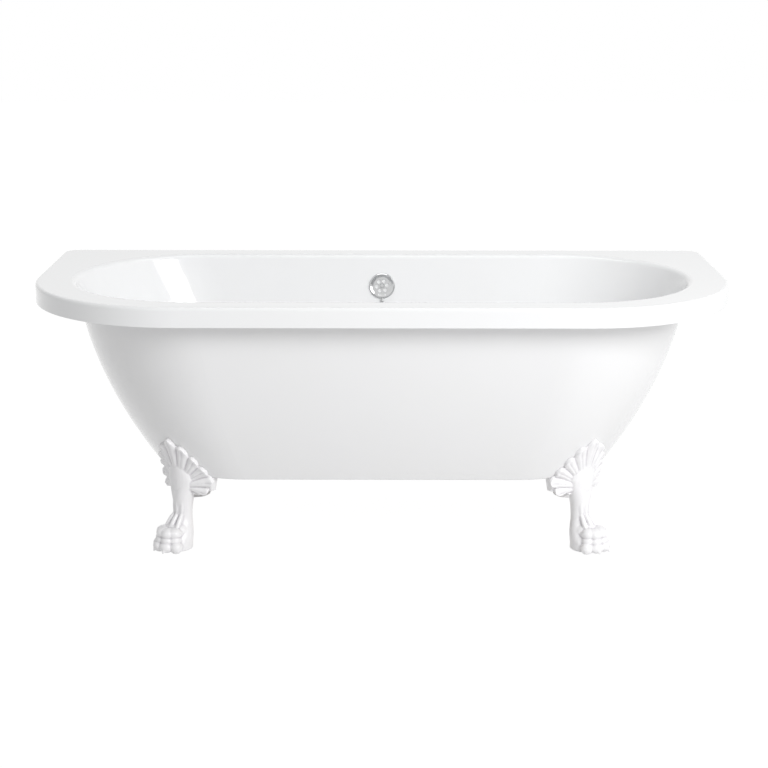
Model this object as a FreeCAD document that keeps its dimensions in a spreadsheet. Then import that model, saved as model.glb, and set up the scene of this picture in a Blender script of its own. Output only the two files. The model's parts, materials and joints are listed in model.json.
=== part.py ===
import FreeCAD, Part
import math
import os
import re
import Sketcher
from FreeCAD import Placement, Rotation, Vector

# A back-to-wall bath on four claw feet. Millimetres, +X along the bath, +Y to the wall,
# +Z up, and the origin on the floor under the middle of the rim.

SIZES = [
    # the rim, a D in plan: straight at the back, quarter circles at the front
    ("bath_length", 1700, "over the rim"),
    ("bath_width", 750, "front of the rim to its back edge"),
    ("bath_height", 635, "floor to the top of the rim"),
    ("front_corner", 375, "plan radius of the two front corners"),
    ("back_corner", 35, "plan radius of the two back corners"),
    ("apron_height", 46, "how far the rim turns down"),
    ("rim_edge", 8, "rounding of the rim's outer top edge"),
    ("tub_wall", 6, "acrylic with its backing, rim and tub"),
    # the inside of the tub, a stadium that tapers to the floor
    ("end_land", 94, "rim from its end to the tub's mouth"),
    ("side_land", 75, "rim from its front or back to the mouth"),
    ("tub_depth", 412, "top of the rim to the tub's floor"),
    ("floor_half_length", 500, "where the end slope would meet the floor"),
    ("floor_half_width", 202, "where the side slope would meet the floor"),
    ("tub_end_bulge", 4, "how much the end slopes bow outwards"),
    ("tub_side_bulge", 1, "how much the side walls bow outwards"),
    ("floor_radius", 62, "inside corner between wall and floor"),
    ("mouth_radius", 14, "roll of the rim into the tub"),
    # the outer skin
    ("skin_wall", 4, "outer skin"),
    ("skin_top_end", 745, "half length of the skin under the apron"),
    ("skin_top_side", 320, "half width of the skin under the apron"),
    ("skin_low_end", 562, "half length of the skin at its bottom"),
    ("skin_low_side", 235, "half width of the skin at its bottom"),
    ("skin_end_bulge", 29, "how much the ends bow outwards"),
    ("skin_side_bulge", 14, "how much the sides bow outwards"),
    ("skin_depth", 452, "top of the rim to the bottom of the skin"),
    ("skin_edge", 5, "rounding of the skin's bottom edge"),
    ("skin_return", 72, "width of the flange turned in at the bottom"),
    ("flange_recess", 8, "top flange above the apron's lower edge"),
    # what stiffens the rim and carries the floor
    ("batten_width", 45, "timber under the rim"),
    ("end_batten_width", 62, "timber under the rim's ends"),
    ("batten_gap", 4, "batten to the inside of the apron"),
    ("board_thickness", 15, "board bonded under the tub's floor"),
    ("board_half_length", 480, "board"),
    ("board_half_width", 148, "board"),
    ("board_corner", 40, "plan radius of the board's corners"),
    ("board_slot", 100, "slot in the board for waste and hose"),
    ("bar_width", 50, "steel tube across the bath"),
    ("bar_half_length", 170, "steel tube across the bath"),
    ("bar_wall", 1.5, "steel tube across the bath"),
    ("screw_spacing", 90, "bar screw to the bath's centre line"),
    ("screw_length", 26, "wood screw, bar to board"),
    ("screw_radius", 2, "wood screw, bar to board"),
    ("screw_head", 4, "radius of the wood screw's head"),
    # the claw feet
    ("foot_angle", 40, "degrees each foot turns out from straight ahead"),
    ("shin_half", 23, "half width of the shin"),
    ("paw_half", 41, "half width of the paw behind its toes"),
    ("paw_reach", 40, "middle of the paw in front of the skin's edge"),
    ("paw_lift", 2, "underside of the paw above the floor"),
    ("toe_reach", 12, "root of a toe in front of the paw's middle"),
    ("toe_length", 30, "root of a toe to the middle of its tip"),
    ("toe_half", 15, "half thickness of a toe"),
    ("toe_fan", 33, "degrees from one toe to the next"),
    ("knuckle_reach", 26, "middle of a knuckle in front of the paw's"),
    ("knuckle_height", 40, "middle of a knuckle above the floor"),
    ("leaf_height", 98, "leaf above the bottom of the skin"),
    ("leaf_half", 82, "half width across the leaf's wings"),
    ("leaf_drop", 35, "wing below the bottom of the skin"),
    ("leaf_thick", 15, "leaf over the skin"),
    ("leaf_core", 5, "raised middle of the leaf"),
    ("foot_gap", 0.3, "casting to the skin's curved side"),
    ("lug_thick", 12, "lug under the skin"),
    ("lug_half", 36, "half width of the lug"),
    ("lug_inner", 68, "lug in from the skin's edge"),
    ("bolt_inset", 42, "bolts in from the skin's edge"),
    ("bolt_spread", 18, "bolt to the middle of the lug"),
    ("bolt_radius", 4, "M8 bolt"),
    ("bolt_head", 7.5, "radius over the corners of the bolt's head"),
    ("bolt_head_height", 5.3, "M8 bolt"),
    ("bolt_play", 0.5, "hole larger than the bolt, in radius"),
    ("thread_play", 0.1, "nut's bore larger than the screw's crests, in radius"),
    ("washer_radius", 8, "M8 washer"),
    ("washer_thick", 1.6, "M8 washer"),
    ("nut_radius", 7.5, "radius over the corners of the weld nut"),
    ("nut_height", 6.5, "M8 weld nut"),
    # the levelling feet, up inside the paws
    ("stud_radius", 5, "M10 stud"),
    ("stud_length", 34, "stud above its collar"),
    ("stud_play", 0.3, "hole larger than the stud, in radius"),
    ("collar_radius", 9, "radius over the corners of the collar"),
    ("collar_height", 6, "collar for the spanner"),
    ("pad_radius", 15, "rubber pad"),
    ("pad_height", 6, "rubber pad"),
    ("pad_play", 1.5, "pocket round the pad"),
    ("pad_centre", 36, "levelling foot in front of the skin's edge"),
    # the overflow, on the middle of the back wall
    ("overflow_drop", 80, "middle of the rose below the rim"),
    ("overflow_hole", 24, "radius of the hole in the tub"),
    ("rose_radius", 34, "chromed cover"),
    ("rose_height", 7, "raised ring of the cover"),
    ("rose_ring", 7, "width of the raised ring"),
    ("rose_well", 23, "radius of the grid"),
    ("grid_thick", 2, "grid"),
    ("grid_hole", 5, "radius of each hole in the grid"),
    ("grid_circle", 13.8, "radius on which the holes lie"),
    ("seat_gap", 0.3, "flat fitting to the gently curved wall"),
    ("stay_reach", 41, "eye of the chain stay below the rose's middle"),
    ("stay_radius", 5, "chain stay round its eye"),
    ("eye_radius", 2.2, "hole in the chain stay"),
    ("ring_radius", 6, "middle of a split ring"),
    ("ring_wire", 1, "radius of a split ring's wire"),
    ("ring_lift", 12, "degrees the plug's ring rises to its chain"),
    ("seal_thick", 2.5, "rubber seals"),
    ("elbow_radius", 31, "overflow elbow"),
    ("elbow_depth", 15.5, "overflow elbow behind its seal"),
    ("elbow_wall", 2.5, "overflow elbow"),
    ("hose_radius", 11, "overflow hose"),
    ("hose_wall", 2, "overflow hose"),
    ("hose_gap", 0.8, "hose to the outside of the tub"),
    # the waste, in the middle of the floor
    ("waste_hole", 26, "radius of the hole in the floor"),
    ("waste_recess", 42, "radius of the sunk seat round the hole"),
    ("recess_depth", 2.2, "sunk seat round the hole"),
    ("waste_radius", 40, "chromed flange"),
    ("waste_lip", 2.6, "thickness of the flange"),
    ("waste_play", 0.5, "tail of the flange to the hole"),
    ("plug_top", 22, "radius of the plug's taper at its top"),
    ("plug_taper", 1.8, "how much the taper narrows"),
    ("plug_depth", 11, "taper"),
    ("plug_gap", 0.3, "plug to its seat, in radius"),
    ("plug_lip", 25, "radius of the plug's rubber lip"),
    ("plug_lip_thick", 1.5, "rubber lip"),
    ("cap_radius", 20.5, "chromed top of the plug"),
    ("cap_thick", 1.8, "chromed top of the plug"),
    ("web_thick", 3, "cross webs of the waste"),
    ("tail_radius", 23.9, "1 1/2 inch thread"),
    ("tail_bore", 20, "waste outlet"),
    ("body_radius", 31, "waste body"),
    ("body_depth", 50, "waste body below its seal"),
    ("tail_length", 28, "threaded tail"),
    ("inlet_drop", 24, "middle of the hose inlet below the seal"),
    ("inlet_length", 14, "hose inlet out of the body"),
    ("nut_ring", 4.5, "hose nut outside the hose"),
    # the chain
    ("chain_radius", 2.8, "half the width of the chain's links"),
]

doc = FreeCAD.newDocument("Bathtub")
sheet = doc.addObject("Spreadsheet::Sheet", "Sizes")
for row, (alias, number, note) in enumerate(SIZES, start=1):
    sheet.set("A%d" % row, alias)
    sheet.set("B%d" % row, str(number))
    sheet.set("C%d" % row, note)
    sheet.setAlias("B%d" % row, alias)
doc.recompute()

ALIASES = {alias for alias, _, _ in SIZES}
UP = Vector(0, 0, 1)
parts = []


# ---------------------------------------------------------------- sizes and expressions

def bound(text):
    """The text with each size written as a cell of the sheet."""
    return re.sub(
        r"[a-z_]+", lambda m: "Sizes." + m[0] if m[0] in ALIASES else m[0], str(text)
    )


def value(text):
    """The number that an expression of sizes gives."""
    found = sheet.evalExpression(bound(text))
    return float(getattr(found, "Value", found))


def bind(thing, prop, text):
    """Tie a property to the sheet."""
    thing.setExpression(prop, bound(text))


def swell(top, low, bulge, step):
    """A size that runs from top to low as step goes from 0 to 1, bowed outwards by bulge."""
    return "(%s + (%s - (%s)) * %s + 4 * %s * %s * (1 - %s))" % (
        top, low, top, step, bulge, step, step
    )


RIM_UNDER = "(bath_height - tub_wall)"
APRON_LOW = "(bath_height - apron_height)"
SKIN_LOW = "(bath_height - skin_depth)"
FLANGE_LOW = "(bath_height - apron_height + flange_recess)"
FLANGE_TOP = "(bath_height - apron_height + flange_recess + skin_wall)"
FLOOR_TOP = "(bath_height - tub_depth)"
FLOOR_UNDER = "(bath_height - tub_depth - tub_wall)"
BOARD_UNDER = "(bath_height - tub_depth - tub_wall - board_thickness)"
BAR_LOW = "(bath_height - skin_depth + skin_wall)"

MOUTH_END = "(bath_length / 2 - end_land)"
MOUTH_SIDE = "(bath_width / 2 - side_land)"


def tub_section(step, wall):
    """Half length, half width and height of the tub at a step from mouth to floor."""
    end = swell(MOUTH_END, "floor_half_length", "tub_end_bulge", step)
    side = swell(MOUTH_SIDE, "floor_half_width", "tub_side_bulge", step)
    return end + " + " + wall, side + " + " + wall, "bath_height - tub_depth * %s" % step


def skin_section(step, grow):
    """Half length, half width and height of the skin, 0 under the apron and 1 at its bottom."""
    end = swell("skin_top_end", "skin_low_end", "skin_end_bulge", step)
    side = swell("skin_top_side", "skin_low_side", "skin_side_bulge", step)
    height = "%s - (skin_depth - apron_height) * %s" % (APRON_LOW, step)
    return end + grow, side + grow, height


# ---------------------------------------------------------------- bodies, sketches, features

def new_body(name, keep=True):
    """A body under its own label, kept as a sub-part unless it is only a cutting form."""
    body = doc.addObject("PartDesign::Body", name)
    body.Label = name
    if keep:
        parts.append(body)
    return body


def origin_plane(body, role):
    return next(o for o in body.Origin.OriginFeatures if o.Role == role)


def new_sketch(body, name, role="XY_Plane", height="0", shift="0", tilt=None):
    """A sketch on one of the body's own planes, moved along its normal and its second axis."""
    sketch = body.newObject("Sketcher::SketchObject", name)
    sketch.AttachmentSupport = [(origin_plane(body, role), "")]
    sketch.MapMode = "FlatFace"
    sketch.AttachmentOffset = Placement(Vector(), Rotation(Vector(1, 0, 0), 1 if tilt else 0))
    bind(sketch, "AttachmentOffset.Base.z", height)
    bind(sketch, "AttachmentOffset.Base.y", shift)
    if tilt:
        bind(sketch, "AttachmentOffset.Rotation.Angle", tilt)
    return sketch


def hold(sketch, kind, first, point, text):
    """Fix one coordinate of a point, from the sketch's origin."""
    number = value(text)
    axis = -2 if kind == "DistanceX" else -1
    if abs(number) < 1e-9:
        sketch.addConstraint(Sketcher.Constraint("PointOnObject", first, point, axis))
        return
    if number > 0:
        made = sketch.addConstraint(Sketcher.Constraint(kind, -1, 1, first, point, number))
        bind(sketch, "Constraints[%d]" % made, text)
    else:
        made = sketch.addConstraint(Sketcher.Constraint(kind, first, point, -1, 1, -number))
        bind(sketch, "Constraints[%d]" % made, "-(%s)" % text)


def add_circle(sketch, radius, x="0", y="0"):
    centre = Vector(value(x), value(y), 0)
    made = sketch.addGeometry(Part.Circle(centre, UP, value(radius)), False)
    limit = sketch.addConstraint(Sketcher.Constraint("Radius", made, value(radius)))
    bind(sketch, "Constraints[%d]" % limit, radius)
    hold(sketch, "DistanceX", made, 3, x)
    hold(sketch, "DistanceY", made, 3, y)


def add_polygon(sketch, corners):
    """A closed outline of straight lines through corners given as pairs of expressions."""
    places = [Vector(value(x), value(y), 0) for x, y in corners]
    first = sketch.GeometryCount
    count = len(corners)
    for i in range(count):
        sketch.addGeometry(Part.LineSegment(places[i], places[(i + 1) % count]), False)
    for i in range(count):
        after = first + (i + 1) % count
        sketch.addConstraint(Sketcher.Constraint("Coincident", first + i, 2, after, 1))
    for i, (x, y) in enumerate(corners):
        hold(sketch, "DistanceX", first + i, 1, x)
        hold(sketch, "DistanceY", first + i, 1, y)


def add_rectangle(sketch, x_low, x_high, y_low, y_high):
    add_polygon(sketch, [(x_low, y_low), (x_high, y_low), (x_high, y_high), (x_low, y_high)])


def add_stadium(sketch, half_length, half_width):
    """Two half circles joined by straight sides, long along X."""
    radius = value(half_width)
    reach = value(half_length) - radius
    quarter = math.pi / 2
    sketch.addGeometry(
        [
            Part.ArcOfCircle(Part.Circle(Vector(reach, 0, 0), UP, radius), -quarter, quarter),
            Part.LineSegment(Vector(reach, radius, 0), Vector(-reach, radius, 0)),
            Part.ArcOfCircle(Part.Circle(Vector(-reach, 0, 0), UP, radius), quarter, 3 * quarter),
            Part.LineSegment(Vector(-reach, -radius, 0), Vector(reach, -radius, 0)),
        ],
        False,
    )
    for i in range(4):
        sketch.addConstraint(Sketcher.Constraint("Tangent", i, 2, (i + 1) % 4, 1))
    sketch.addConstraint(Sketcher.Constraint("Equal", 0, 2))
    limit = sketch.addConstraint(Sketcher.Constraint("Radius", 0, radius))
    bind(sketch, "Constraints[%d]" % limit, half_width)
    hold(sketch, "DistanceX", 0, 3, "(%s) - (%s)" % (half_length, half_width))
    hold(sketch, "DistanceX", 2, 3, "(%s) - (%s)" % (half_width, half_length))
    hold(sketch, "DistanceY", 0, 3, "0")
    hold(sketch, "DistanceY", 2, 3, "0")


def add_rounded(sketch, half_length, half_width, front, back, inset="0"):
    """A rectangle with two front radii and two back radii, drawn in by inset all round."""
    far, wide = value(half_length) - value(inset), value(half_width) - value(inset)
    big, small = value(front) - value(inset), value(back) - value(inset)
    corners = [(1, -1, big), (1, 1, small), (-1, 1, small), (-1, -1, big)]
    centres = [Vector(sx * (far - r), sy * (wide - r), 0) for sx, sy, r in corners]
    starts = [centres[i] + Vector(0, 0, 0) for i in range(4)]
    turn = [-math.pi / 2, 0, math.pi / 2, math.pi]
    pieces = []
    for i, (_, _, radius) in enumerate(corners):
        arc = Part.ArcOfCircle(
            Part.Circle(starts[i], UP, radius), turn[i], turn[i] + math.pi / 2
        )
        pieces.append(arc)
    ends = [(p.StartPoint, p.EndPoint) for p in pieces]
    for i in range(4):
        sketch.addGeometry(pieces[i], False)
        sketch.addGeometry(Part.LineSegment(ends[i][1], ends[(i + 1) % 4][0]), False)
    for i in range(8):
        sketch.addConstraint(Sketcher.Constraint("Tangent", i, 2, (i + 1) % 8, 1))
    for i in (1, 5):
        sketch.addConstraint(Sketcher.Constraint("Vertical", i))
    for i in (3, 7):
        sketch.addConstraint(Sketcher.Constraint("Horizontal", i))
    sketch.addConstraint(Sketcher.Constraint("Equal", 0, 6))
    sketch.addConstraint(Sketcher.Constraint("Equal", 2, 4))
    for arc, size, radius in ((0, front, big), (2, back, small)):
        limit = sketch.addConstraint(Sketcher.Constraint("Radius", arc, radius))
        bind(sketch, "Constraints[%d]" % limit, "%s - (%s)" % (size, inset))
    hold(sketch, "DistanceX", 1, 1, "%s - (%s)" % (half_length, inset))
    hold(sketch, "DistanceX", 5, 1, "%s - (%s)" % (inset, half_length))
    hold(sketch, "DistanceY", 3, 1, "%s - (%s)" % (half_width, inset))
    hold(sketch, "DistanceY", 7, 1, "%s - (%s)" % (inset, half_width))


def pad(body, sketch, length, down=False):
    made = body.newObject("PartDesign::Pad", sketch.Name + "_pad")
    made.Profile = sketch
    made.Reversed = down
    bind(made, "Length", length)
    return finish(body, made)


def pocket(body, sketch, length, up=False):
    """A cut from the sketch's plane; up cuts along the plane's normal."""
    before = body.Shape.Volume
    made = body.newObject("PartDesign::Pocket", sketch.Name + "_pocket")
    made.Profile = sketch
    made.Reversed = up
    bind(made, "Length", length)
    finish(body, made)
    if body.Shape.Volume > before - 1e-6:
        raise RuntimeError("%s cuts nothing" % made.Name)
    return made


def revolve(body, sketch, axis="V_Axis"):
    made = body.newObject("PartDesign::Revolution", sketch.Name + "_turned")
    made.Profile = sketch
    made.ReferenceAxis = (sketch, [axis])
    made.Angle = 360
    return finish(body, made)


def loft(body, sketches, cut=False):
    kind = "PartDesign::SubtractiveLoft" if cut else "PartDesign::AdditiveLoft"
    made = body.newObject(kind, sketches[0].Name + "_loft")
    made.Profile = sketches[0]
    made.Sections = sketches[1:]
    return finish(body, made)


def fillet(body, radius, wanted):
    """Round the edges that the test picks by place."""
    base = body.Tip
    names = [
        "Edge%d" % (i + 1) for i, edge in enumerate(base.Shape.Edges) if wanted(edge.BoundBox)
    ]
    made = body.newObject("PartDesign::Fillet", "%s_round_%d" % (body.Name, len(body.Group)))
    made.Base = (base, names)
    bind(made, "Radius", radius)
    return finish(body, made)


def cut_away(body, tool):
    """Take another body's form out of this one."""
    made = body.newObject("PartDesign::Boolean", body.Name + "_less_" + tool.Name)
    made.Type = "Cut"
    made.Group = [tool]
    return finish(body, made)


def finish(body, feature):
    body.Tip = feature
    doc.recompute()
    if "Invalid" in feature.State or feature.Shape.isNull():
        raise RuntimeError("%s: %s" % (feature.Name, feature.getStatusString()))
    return feature


def level(height):
    """A test for edges that lie flat at one height."""
    at = value(height)
    return lambda box: abs(box.ZMin - at) < 0.01 and abs(box.ZMax - at) < 0.01


def put(thing, x="0", y="0", z="0", axis=None, angle=None):
    """Place a body from the sheet, turned about one axis."""
    thing.Placement = Placement(Vector(), Rotation(axis or UP, 1 if angle else 0))
    bind(thing, "Placement.Base.x", x)
    bind(thing, "Placement.Base.y", y)
    bind(thing, "Placement.Base.z", z)
    if angle:
        bind(thing, "Placement.Rotation.Angle", angle)


# ---------------------------------------------------------------- tub and rim

# The overflow's own frame: its origin on the inner face of the back wall, its z axis
# square to the wall and into the tub, its y axis up the wall.
OVERFLOW_STEP = "(overflow_drop / tub_depth)"
OVERFLOW_Y = (
    "(%s + (floor_half_width - %s) * %s + 4 * tub_side_bulge * %s * (1 - %s))"
    % (MOUTH_SIDE, MOUTH_SIDE, OVERFLOW_STEP, OVERFLOW_STEP, OVERFLOW_STEP)
)
OVERFLOW_Z = "(bath_height - overflow_drop)"
OVERFLOW_LEAN = (
    "atan((%s - floor_half_width - 4 * tub_side_bulge * (1 - 2 * %s)) / tub_depth)"
    % (MOUTH_SIDE, OVERFLOW_STEP)
)
OVERFLOW_TURN = "90 deg - %s" % OVERFLOW_LEAN

def tub_loft(body, name, wall, floor, radius):
    """The tub's form down to one floor height, its bottom edge rounded."""
    sections = []
    steps = 4
    for i in range(steps + 1):
        end, side, height = tub_section(i / steps, wall)
        sketch = new_sketch(body, "%s_%d" % (name, i), height=floor if i == steps else height)
        add_stadium(sketch, end, side)
        sections.append(sketch)
    doc.recompute()
    loft(body, sections)
    fillet(body, radius, level(floor))


def make_inner_tub():
    """Rim, apron and tub are one moulding, 6 mm thick all through."""
    tub = new_body("inner_tub")
    outline = new_sketch(tub, "rim_outline", height=APRON_LOW)
    add_rounded(outline, "bath_length / 2", "bath_width / 2", "front_corner", "back_corner")
    pad(tub, outline, "apron_height")
    fillet(tub, "rim_edge", level("bath_height"))
    hollow = new_sketch(tub, "rim_hollow", height=APRON_LOW)
    add_rounded(
        hollow, "bath_length / 2", "bath_width / 2", "front_corner", "back_corner", "tub_wall"
    )
    pocket(tub, hollow, "apron_height - tub_wall", up=True)

    tub_loft(tub, "tub_outside", "tub_wall", FLOOR_UNDER, "floor_radius + tub_wall")
    cavity = new_body("tub_cavity", keep=False)
    tub_loft(cavity, "tub_inside", "0", FLOOR_TOP, "floor_radius")
    cut_away(tub, cavity)

    at = level("bath_height")
    reach = value(MOUTH_END) + 1
    across = value(MOUTH_SIDE) + 1
    fillet(
        tub,
        "mouth_radius",
        lambda box: at(box) and max(abs(box.XMin), abs(box.XMax)) < reach
        and max(abs(box.YMin), abs(box.YMax)) < across,
    )

    seat = new_sketch(tub, "waste_seat", height=FLOOR_TOP)
    add_circle(seat, "waste_recess")
    pocket(tub, seat, "recess_depth")
    hole = new_sketch(tub, "waste_hole", height=FLOOR_TOP)
    add_circle(hole, "waste_hole")
    pocket(tub, hole, "2 * tub_wall")
    through = new_sketch(
        tub, "overflow_hole", height=OVERFLOW_Z, shift=OVERFLOW_Y, tilt=OVERFLOW_TURN
    )
    add_circle(through, "overflow_hole")
    pocket(tub, through, "3 * tub_wall")
    return tub


# ---------------------------------------------------------------- outer skin

def skin_loft(body, name, first, last, steps, grow, bottom=None, cut=False):
    """The skin's form between two steps of its height, grown by a thickness."""
    sections = []
    for i in range(steps + 1):
        step = "(%s + (%s - (%s)) * %g)" % (first, last, first, i / steps)
        end, side, height = skin_section(step, grow)
        if bottom and i == steps:
            height = bottom
        sketch = new_sketch(body, "%s_%d" % (name, i), height=height)
        add_stadium(sketch, end, side)
        sections.append(sketch)
    doc.recompute()
    return loft(body, sections, cut=cut)


# The skin's own top, as a step above its first section under the apron.
SKIN_TOP_STEP = "(-(flange_recess + skin_wall) / (skin_depth - apron_height))"


def foot_point(sx, sy, inward, across="0"):
    """Plan place of a point on a foot: in from the skin's bottom edge, and across the foot."""
    x = (
        "%d * (skin_low_end - skin_low_side + (skin_low_side - (%s)) * sin(foot_angle)"
        " + (%s) * cos(foot_angle))" % (sx, inward, across)
    )
    y = "%d * ((skin_low_side - (%s)) * cos(foot_angle) - (%s) * sin(foot_angle))" % (
        sy, inward, across
    )
    return x, y


CORNERS = {
    "front_right": (1, -1),
    "front_left": (-1, -1),
    "back_right": (1, 1),
    "back_left": (-1, 1),
}


def bolt_places():
    """The two bolts of each foot."""
    for sx, sy in CORNERS.values():
        for side in ("bolt_spread", "-bolt_spread"):
            yield foot_point(sx, sy, "bolt_inset", side)


def make_outer_skin():
    """The second moulding: a flange under the rim, the tapered side, a return at the bottom."""
    skin = new_body("outer_skin")
    steps = 5
    skin_loft(skin, "skin_outside", SKIN_TOP_STEP, 1, steps, "")
    fillet(skin, "skin_edge", level(SKIN_LOW))
    flange = new_sketch(skin, "skin_flange", height=FLANGE_LOW)
    add_rounded(
        flange, "bath_length / 2", "bath_width / 2", "front_corner", "back_corner",
        "tub_wall + seat_gap",
    )
    pad(skin, flange, "skin_wall")
    skin_loft(skin, "skin_inside", SKIN_TOP_STEP, 1, steps, " - skin_wall", BAR_LOW, cut=True)
    opening = new_sketch(skin, "skin_opening", height=BAR_LOW)
    add_stadium(opening, "skin_low_end - skin_return", "skin_low_side - skin_return")
    pocket(skin, opening, "2 * skin_wall")
    holes = new_sketch(skin, "skin_bolt_holes", height=BAR_LOW)
    for x, y in bolt_places():
        add_circle(holes, "bolt_radius + bolt_play", x, y)
    pocket(skin, holes, "2 * skin_wall")
    return skin


# ---------------------------------------------------------------- timber and steel

BAR_X = "(skin_low_end - skin_low_side + (skin_low_side - bolt_inset) * sin(foot_angle))"
BAR_HEIGHT = "(%s - %s)" % (BOARD_UNDER, BAR_LOW)


def make_battens():
    """Timber strips between the skin's flange and the rim."""
    front = "bath_width / 2 - tub_wall - batten_gap"
    end = "bath_length / 2 - tub_wall - batten_gap"
    corner = "(bath_length / 2 - front_corner)"
    back_half = "(bath_length / 2 - back_corner)"
    side_low = "(front_corner - bath_width / 2)"
    side_high = "(%s - batten_width - batten_gap)" % front
    strips = {
        "rim_batten_front": ("-" + corner, corner, "-(%s)" % front, "batten_width - (%s)" % front),
        "rim_batten_back": ("-" + back_half, back_half, "%s - batten_width" % front, front),
        "rim_batten_right": ("%s - end_batten_width" % end, end, side_low, side_high),
        "rim_batten_left": ("-(%s)" % end, "end_batten_width - (%s)" % end, side_low, side_high),
    }
    for name, sides in strips.items():
        batten = new_body(name)
        sketch = new_sketch(batten, name + "_plan", height=FLANGE_TOP)
        add_rectangle(sketch, *sides)
        pad(batten, sketch, "%s - %s" % (RIM_UNDER, FLANGE_TOP))


def make_base_board():
    """A board bonded under the floor, slotted from its back edge for the waste and its hose."""
    board = new_body("base_board")
    plan = new_sketch(board, "board_plan", height=BOARD_UNDER)
    add_rounded(
        plan, "board_half_length", "board_half_width", "board_corner", "board_corner"
    )
    pad(board, plan, "board_thickness")
    hole = new_sketch(board, "board_hole", height=BOARD_UNDER)
    add_circle(hole, "board_slot / 2")
    pocket(board, hole, "board_thickness", up=True)
    slot = new_sketch(board, "board_slot", height=BOARD_UNDER)
    add_rectangle(slot, "-board_slot / 2", "board_slot / 2", "0", "board_half_width + 5")
    pocket(board, slot, "board_thickness", up=True)
    pilots = new_sketch(board, "board_pilots", height=BOARD_UNDER)
    for sx, sy in CORNERS.values():
        add_circle(pilots, "screw_radius", "%d * %s" % (sx, BAR_X), "%d * screw_spacing" % sy)
    pocket(board, pilots, "screw_length - %s + 1" % BAR_HEIGHT, up=True)


def make_cross_bars():
    """A steel tube across each end, with the weld nuts of its two feet inside."""
    for name, sx in (("cross_bar_right", 1), ("cross_bar_left", -1)):
        bar = new_body(name)
        middle = "%d * %s" % (sx, BAR_X)
        section = new_sketch(bar, name + "_section", "XZ_Plane", height="-bar_half_length")
        left = "%s - bar_width / 2" % middle
        right = "%s + bar_width / 2" % middle
        add_rectangle(section, left, right, BAR_LOW, BOARD_UNDER)
        add_rectangle(
            section, left + " + bar_wall", right + " - bar_wall",
            BAR_LOW + " + bar_wall", BOARD_UNDER + " - bar_wall",
        )
        pad(bar, section, "2 * bar_half_length")
        near = [p for (cx, cy) in CORNERS.values() if cx == sx
                for p in (foot_point(cx, cy, "bolt_inset", "bolt_spread"),
                          foot_point(cx, cy, "bolt_inset", "-bolt_spread"))]
        nuts = new_sketch(bar, name + "_nuts", height=BAR_LOW + " + bar_wall")
        for x, y in near:
            add_polygon(nuts, [
                ("%s + nut_radius * %.6f" % (x, math.cos(math.radians(60 * i))),
                 "%s + nut_radius * %.6f" % (y, math.sin(math.radians(60 * i))))
                for i in range(6)
            ])
        pad(bar, nuts, "nut_height")
        holes = new_sketch(bar, name + "_holes", height=BAR_LOW)
        for x, y in near:
            add_circle(holes, "bolt_radius + thread_play", x, y)
        pocket(bar, holes, "bar_wall + nut_height", up=True)
        screws = new_sketch(bar, name + "_screw_holes", height=BAR_LOW)
        for sy in (1, -1):
            add_circle(screws, "screw_radius + seat_gap", middle, "%d * screw_spacing" % sy)
        pocket(bar, screws, BAR_HEIGHT, up=True)


def group_of(name, makers):
    """One sub-part of several alike solids, each made by its own body."""
    group = doc.addObject("Part::Compound", name)
    group.Label = name
    group.Links = makers
    parts.append(group)
    return group


def make_bar_screws():
    """Wood screws from the bars up into the board."""
    solids = []
    for i, (sx, sy) in enumerate(CORNERS.values()):
        screw = new_body("bar_screw_%d" % i, keep=False)
        turned = new_sketch(screw, "bar_screw_profile_%d" % i, "XZ_Plane")
        add_polygon(turned, [
            ("0", "-screw_radius"), ("screw_head", "-screw_radius"),
            ("screw_head", "-seat_gap"), ("screw_radius", "-seat_gap"),
            ("screw_radius", "screw_length - screw_head"), ("0", "screw_length"),
        ])
        revolve(screw, turned)
        put(screw, "%d * %s" % (sx, BAR_X), "%d * screw_spacing" % sy, BAR_LOW)
        solids.append(screw)
    group_of("bar_screws", solids)


# ---------------------------------------------------------------- claw feet

# Height, forward place, half width across and half depth of the leg, from knee to paw.
LEG = [
    (SKIN_LOW, "2", "50", "25"),
    (SKIN_LOW + " - leaf_drop", "8", "shin_half + 10", "shin_half + 3"),
    (SKIN_LOW + " * 0.58", "10", "shin_half + 1", "shin_half"),
    (SKIN_LOW + " * 0.38", "14", "shin_half + 2", "shin_half + 1"),
    ("knuckle_height + 6", "26", "paw_half - 5", "paw_half - 8"),
    ("knuckle_height - 10", "paw_reach - 6", "paw_half", "paw_half - 3"),
    ("paw_lift", "paw_reach - 6", "paw_half - 1", "paw_half - 4"),
]
TOES = (-1.5, -0.5, 0.5, 1.5)

# Notches between the lobes of the leaf, as shares of its half width and its height.
LEAF_NOTCHES = [(1.0, 0.0), (0.74, 0.2), (0.52, 0.42), (0.3, 0.66), (0.0, 1.0)]


def leaf_outline(sketch, share):
    """An acanthus leaf: rounded lobes climb from each wing to the tip, level wings below."""
    half = value("leaf_half") * share
    tall = value("leaf_height") * share
    base = value(SKIN_LOW)
    low = base - value("leaf_drop") * share
    right = [Vector(half * a, base + tall * b, 0) for a, b in LEAF_NOTCHES]
    climb = right + [Vector(-p.x, p.y, 0) for p in reversed(right[:-1])]
    for i, (start, end) in enumerate(zip(climb, climb[1:])):
        chord = end - start
        out = Vector(chord.y, -chord.x, 0) * 0.24
        middle = (start + end) * 0.5 + out
        sketch.addGeometry(Part.Arc(start, middle, end), False)
    wing = Vector(half * 0.92, low, 0)
    neck = Vector(half * 0.45, low - 4, 0)
    shin = Vector(value("shin_half") * 0.8, low - 26, 0)
    under = [climb[-1], Vector(-wing.x, wing.y, 0), Vector(-neck.x, neck.y, 0),
             Vector(-shin.x, shin.y, 0), shin, neck, wing, climb[0]]
    for start, end in zip(under, under[1:]):
        sketch.addGeometry(Part.LineSegment(start, end), False)


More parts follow.
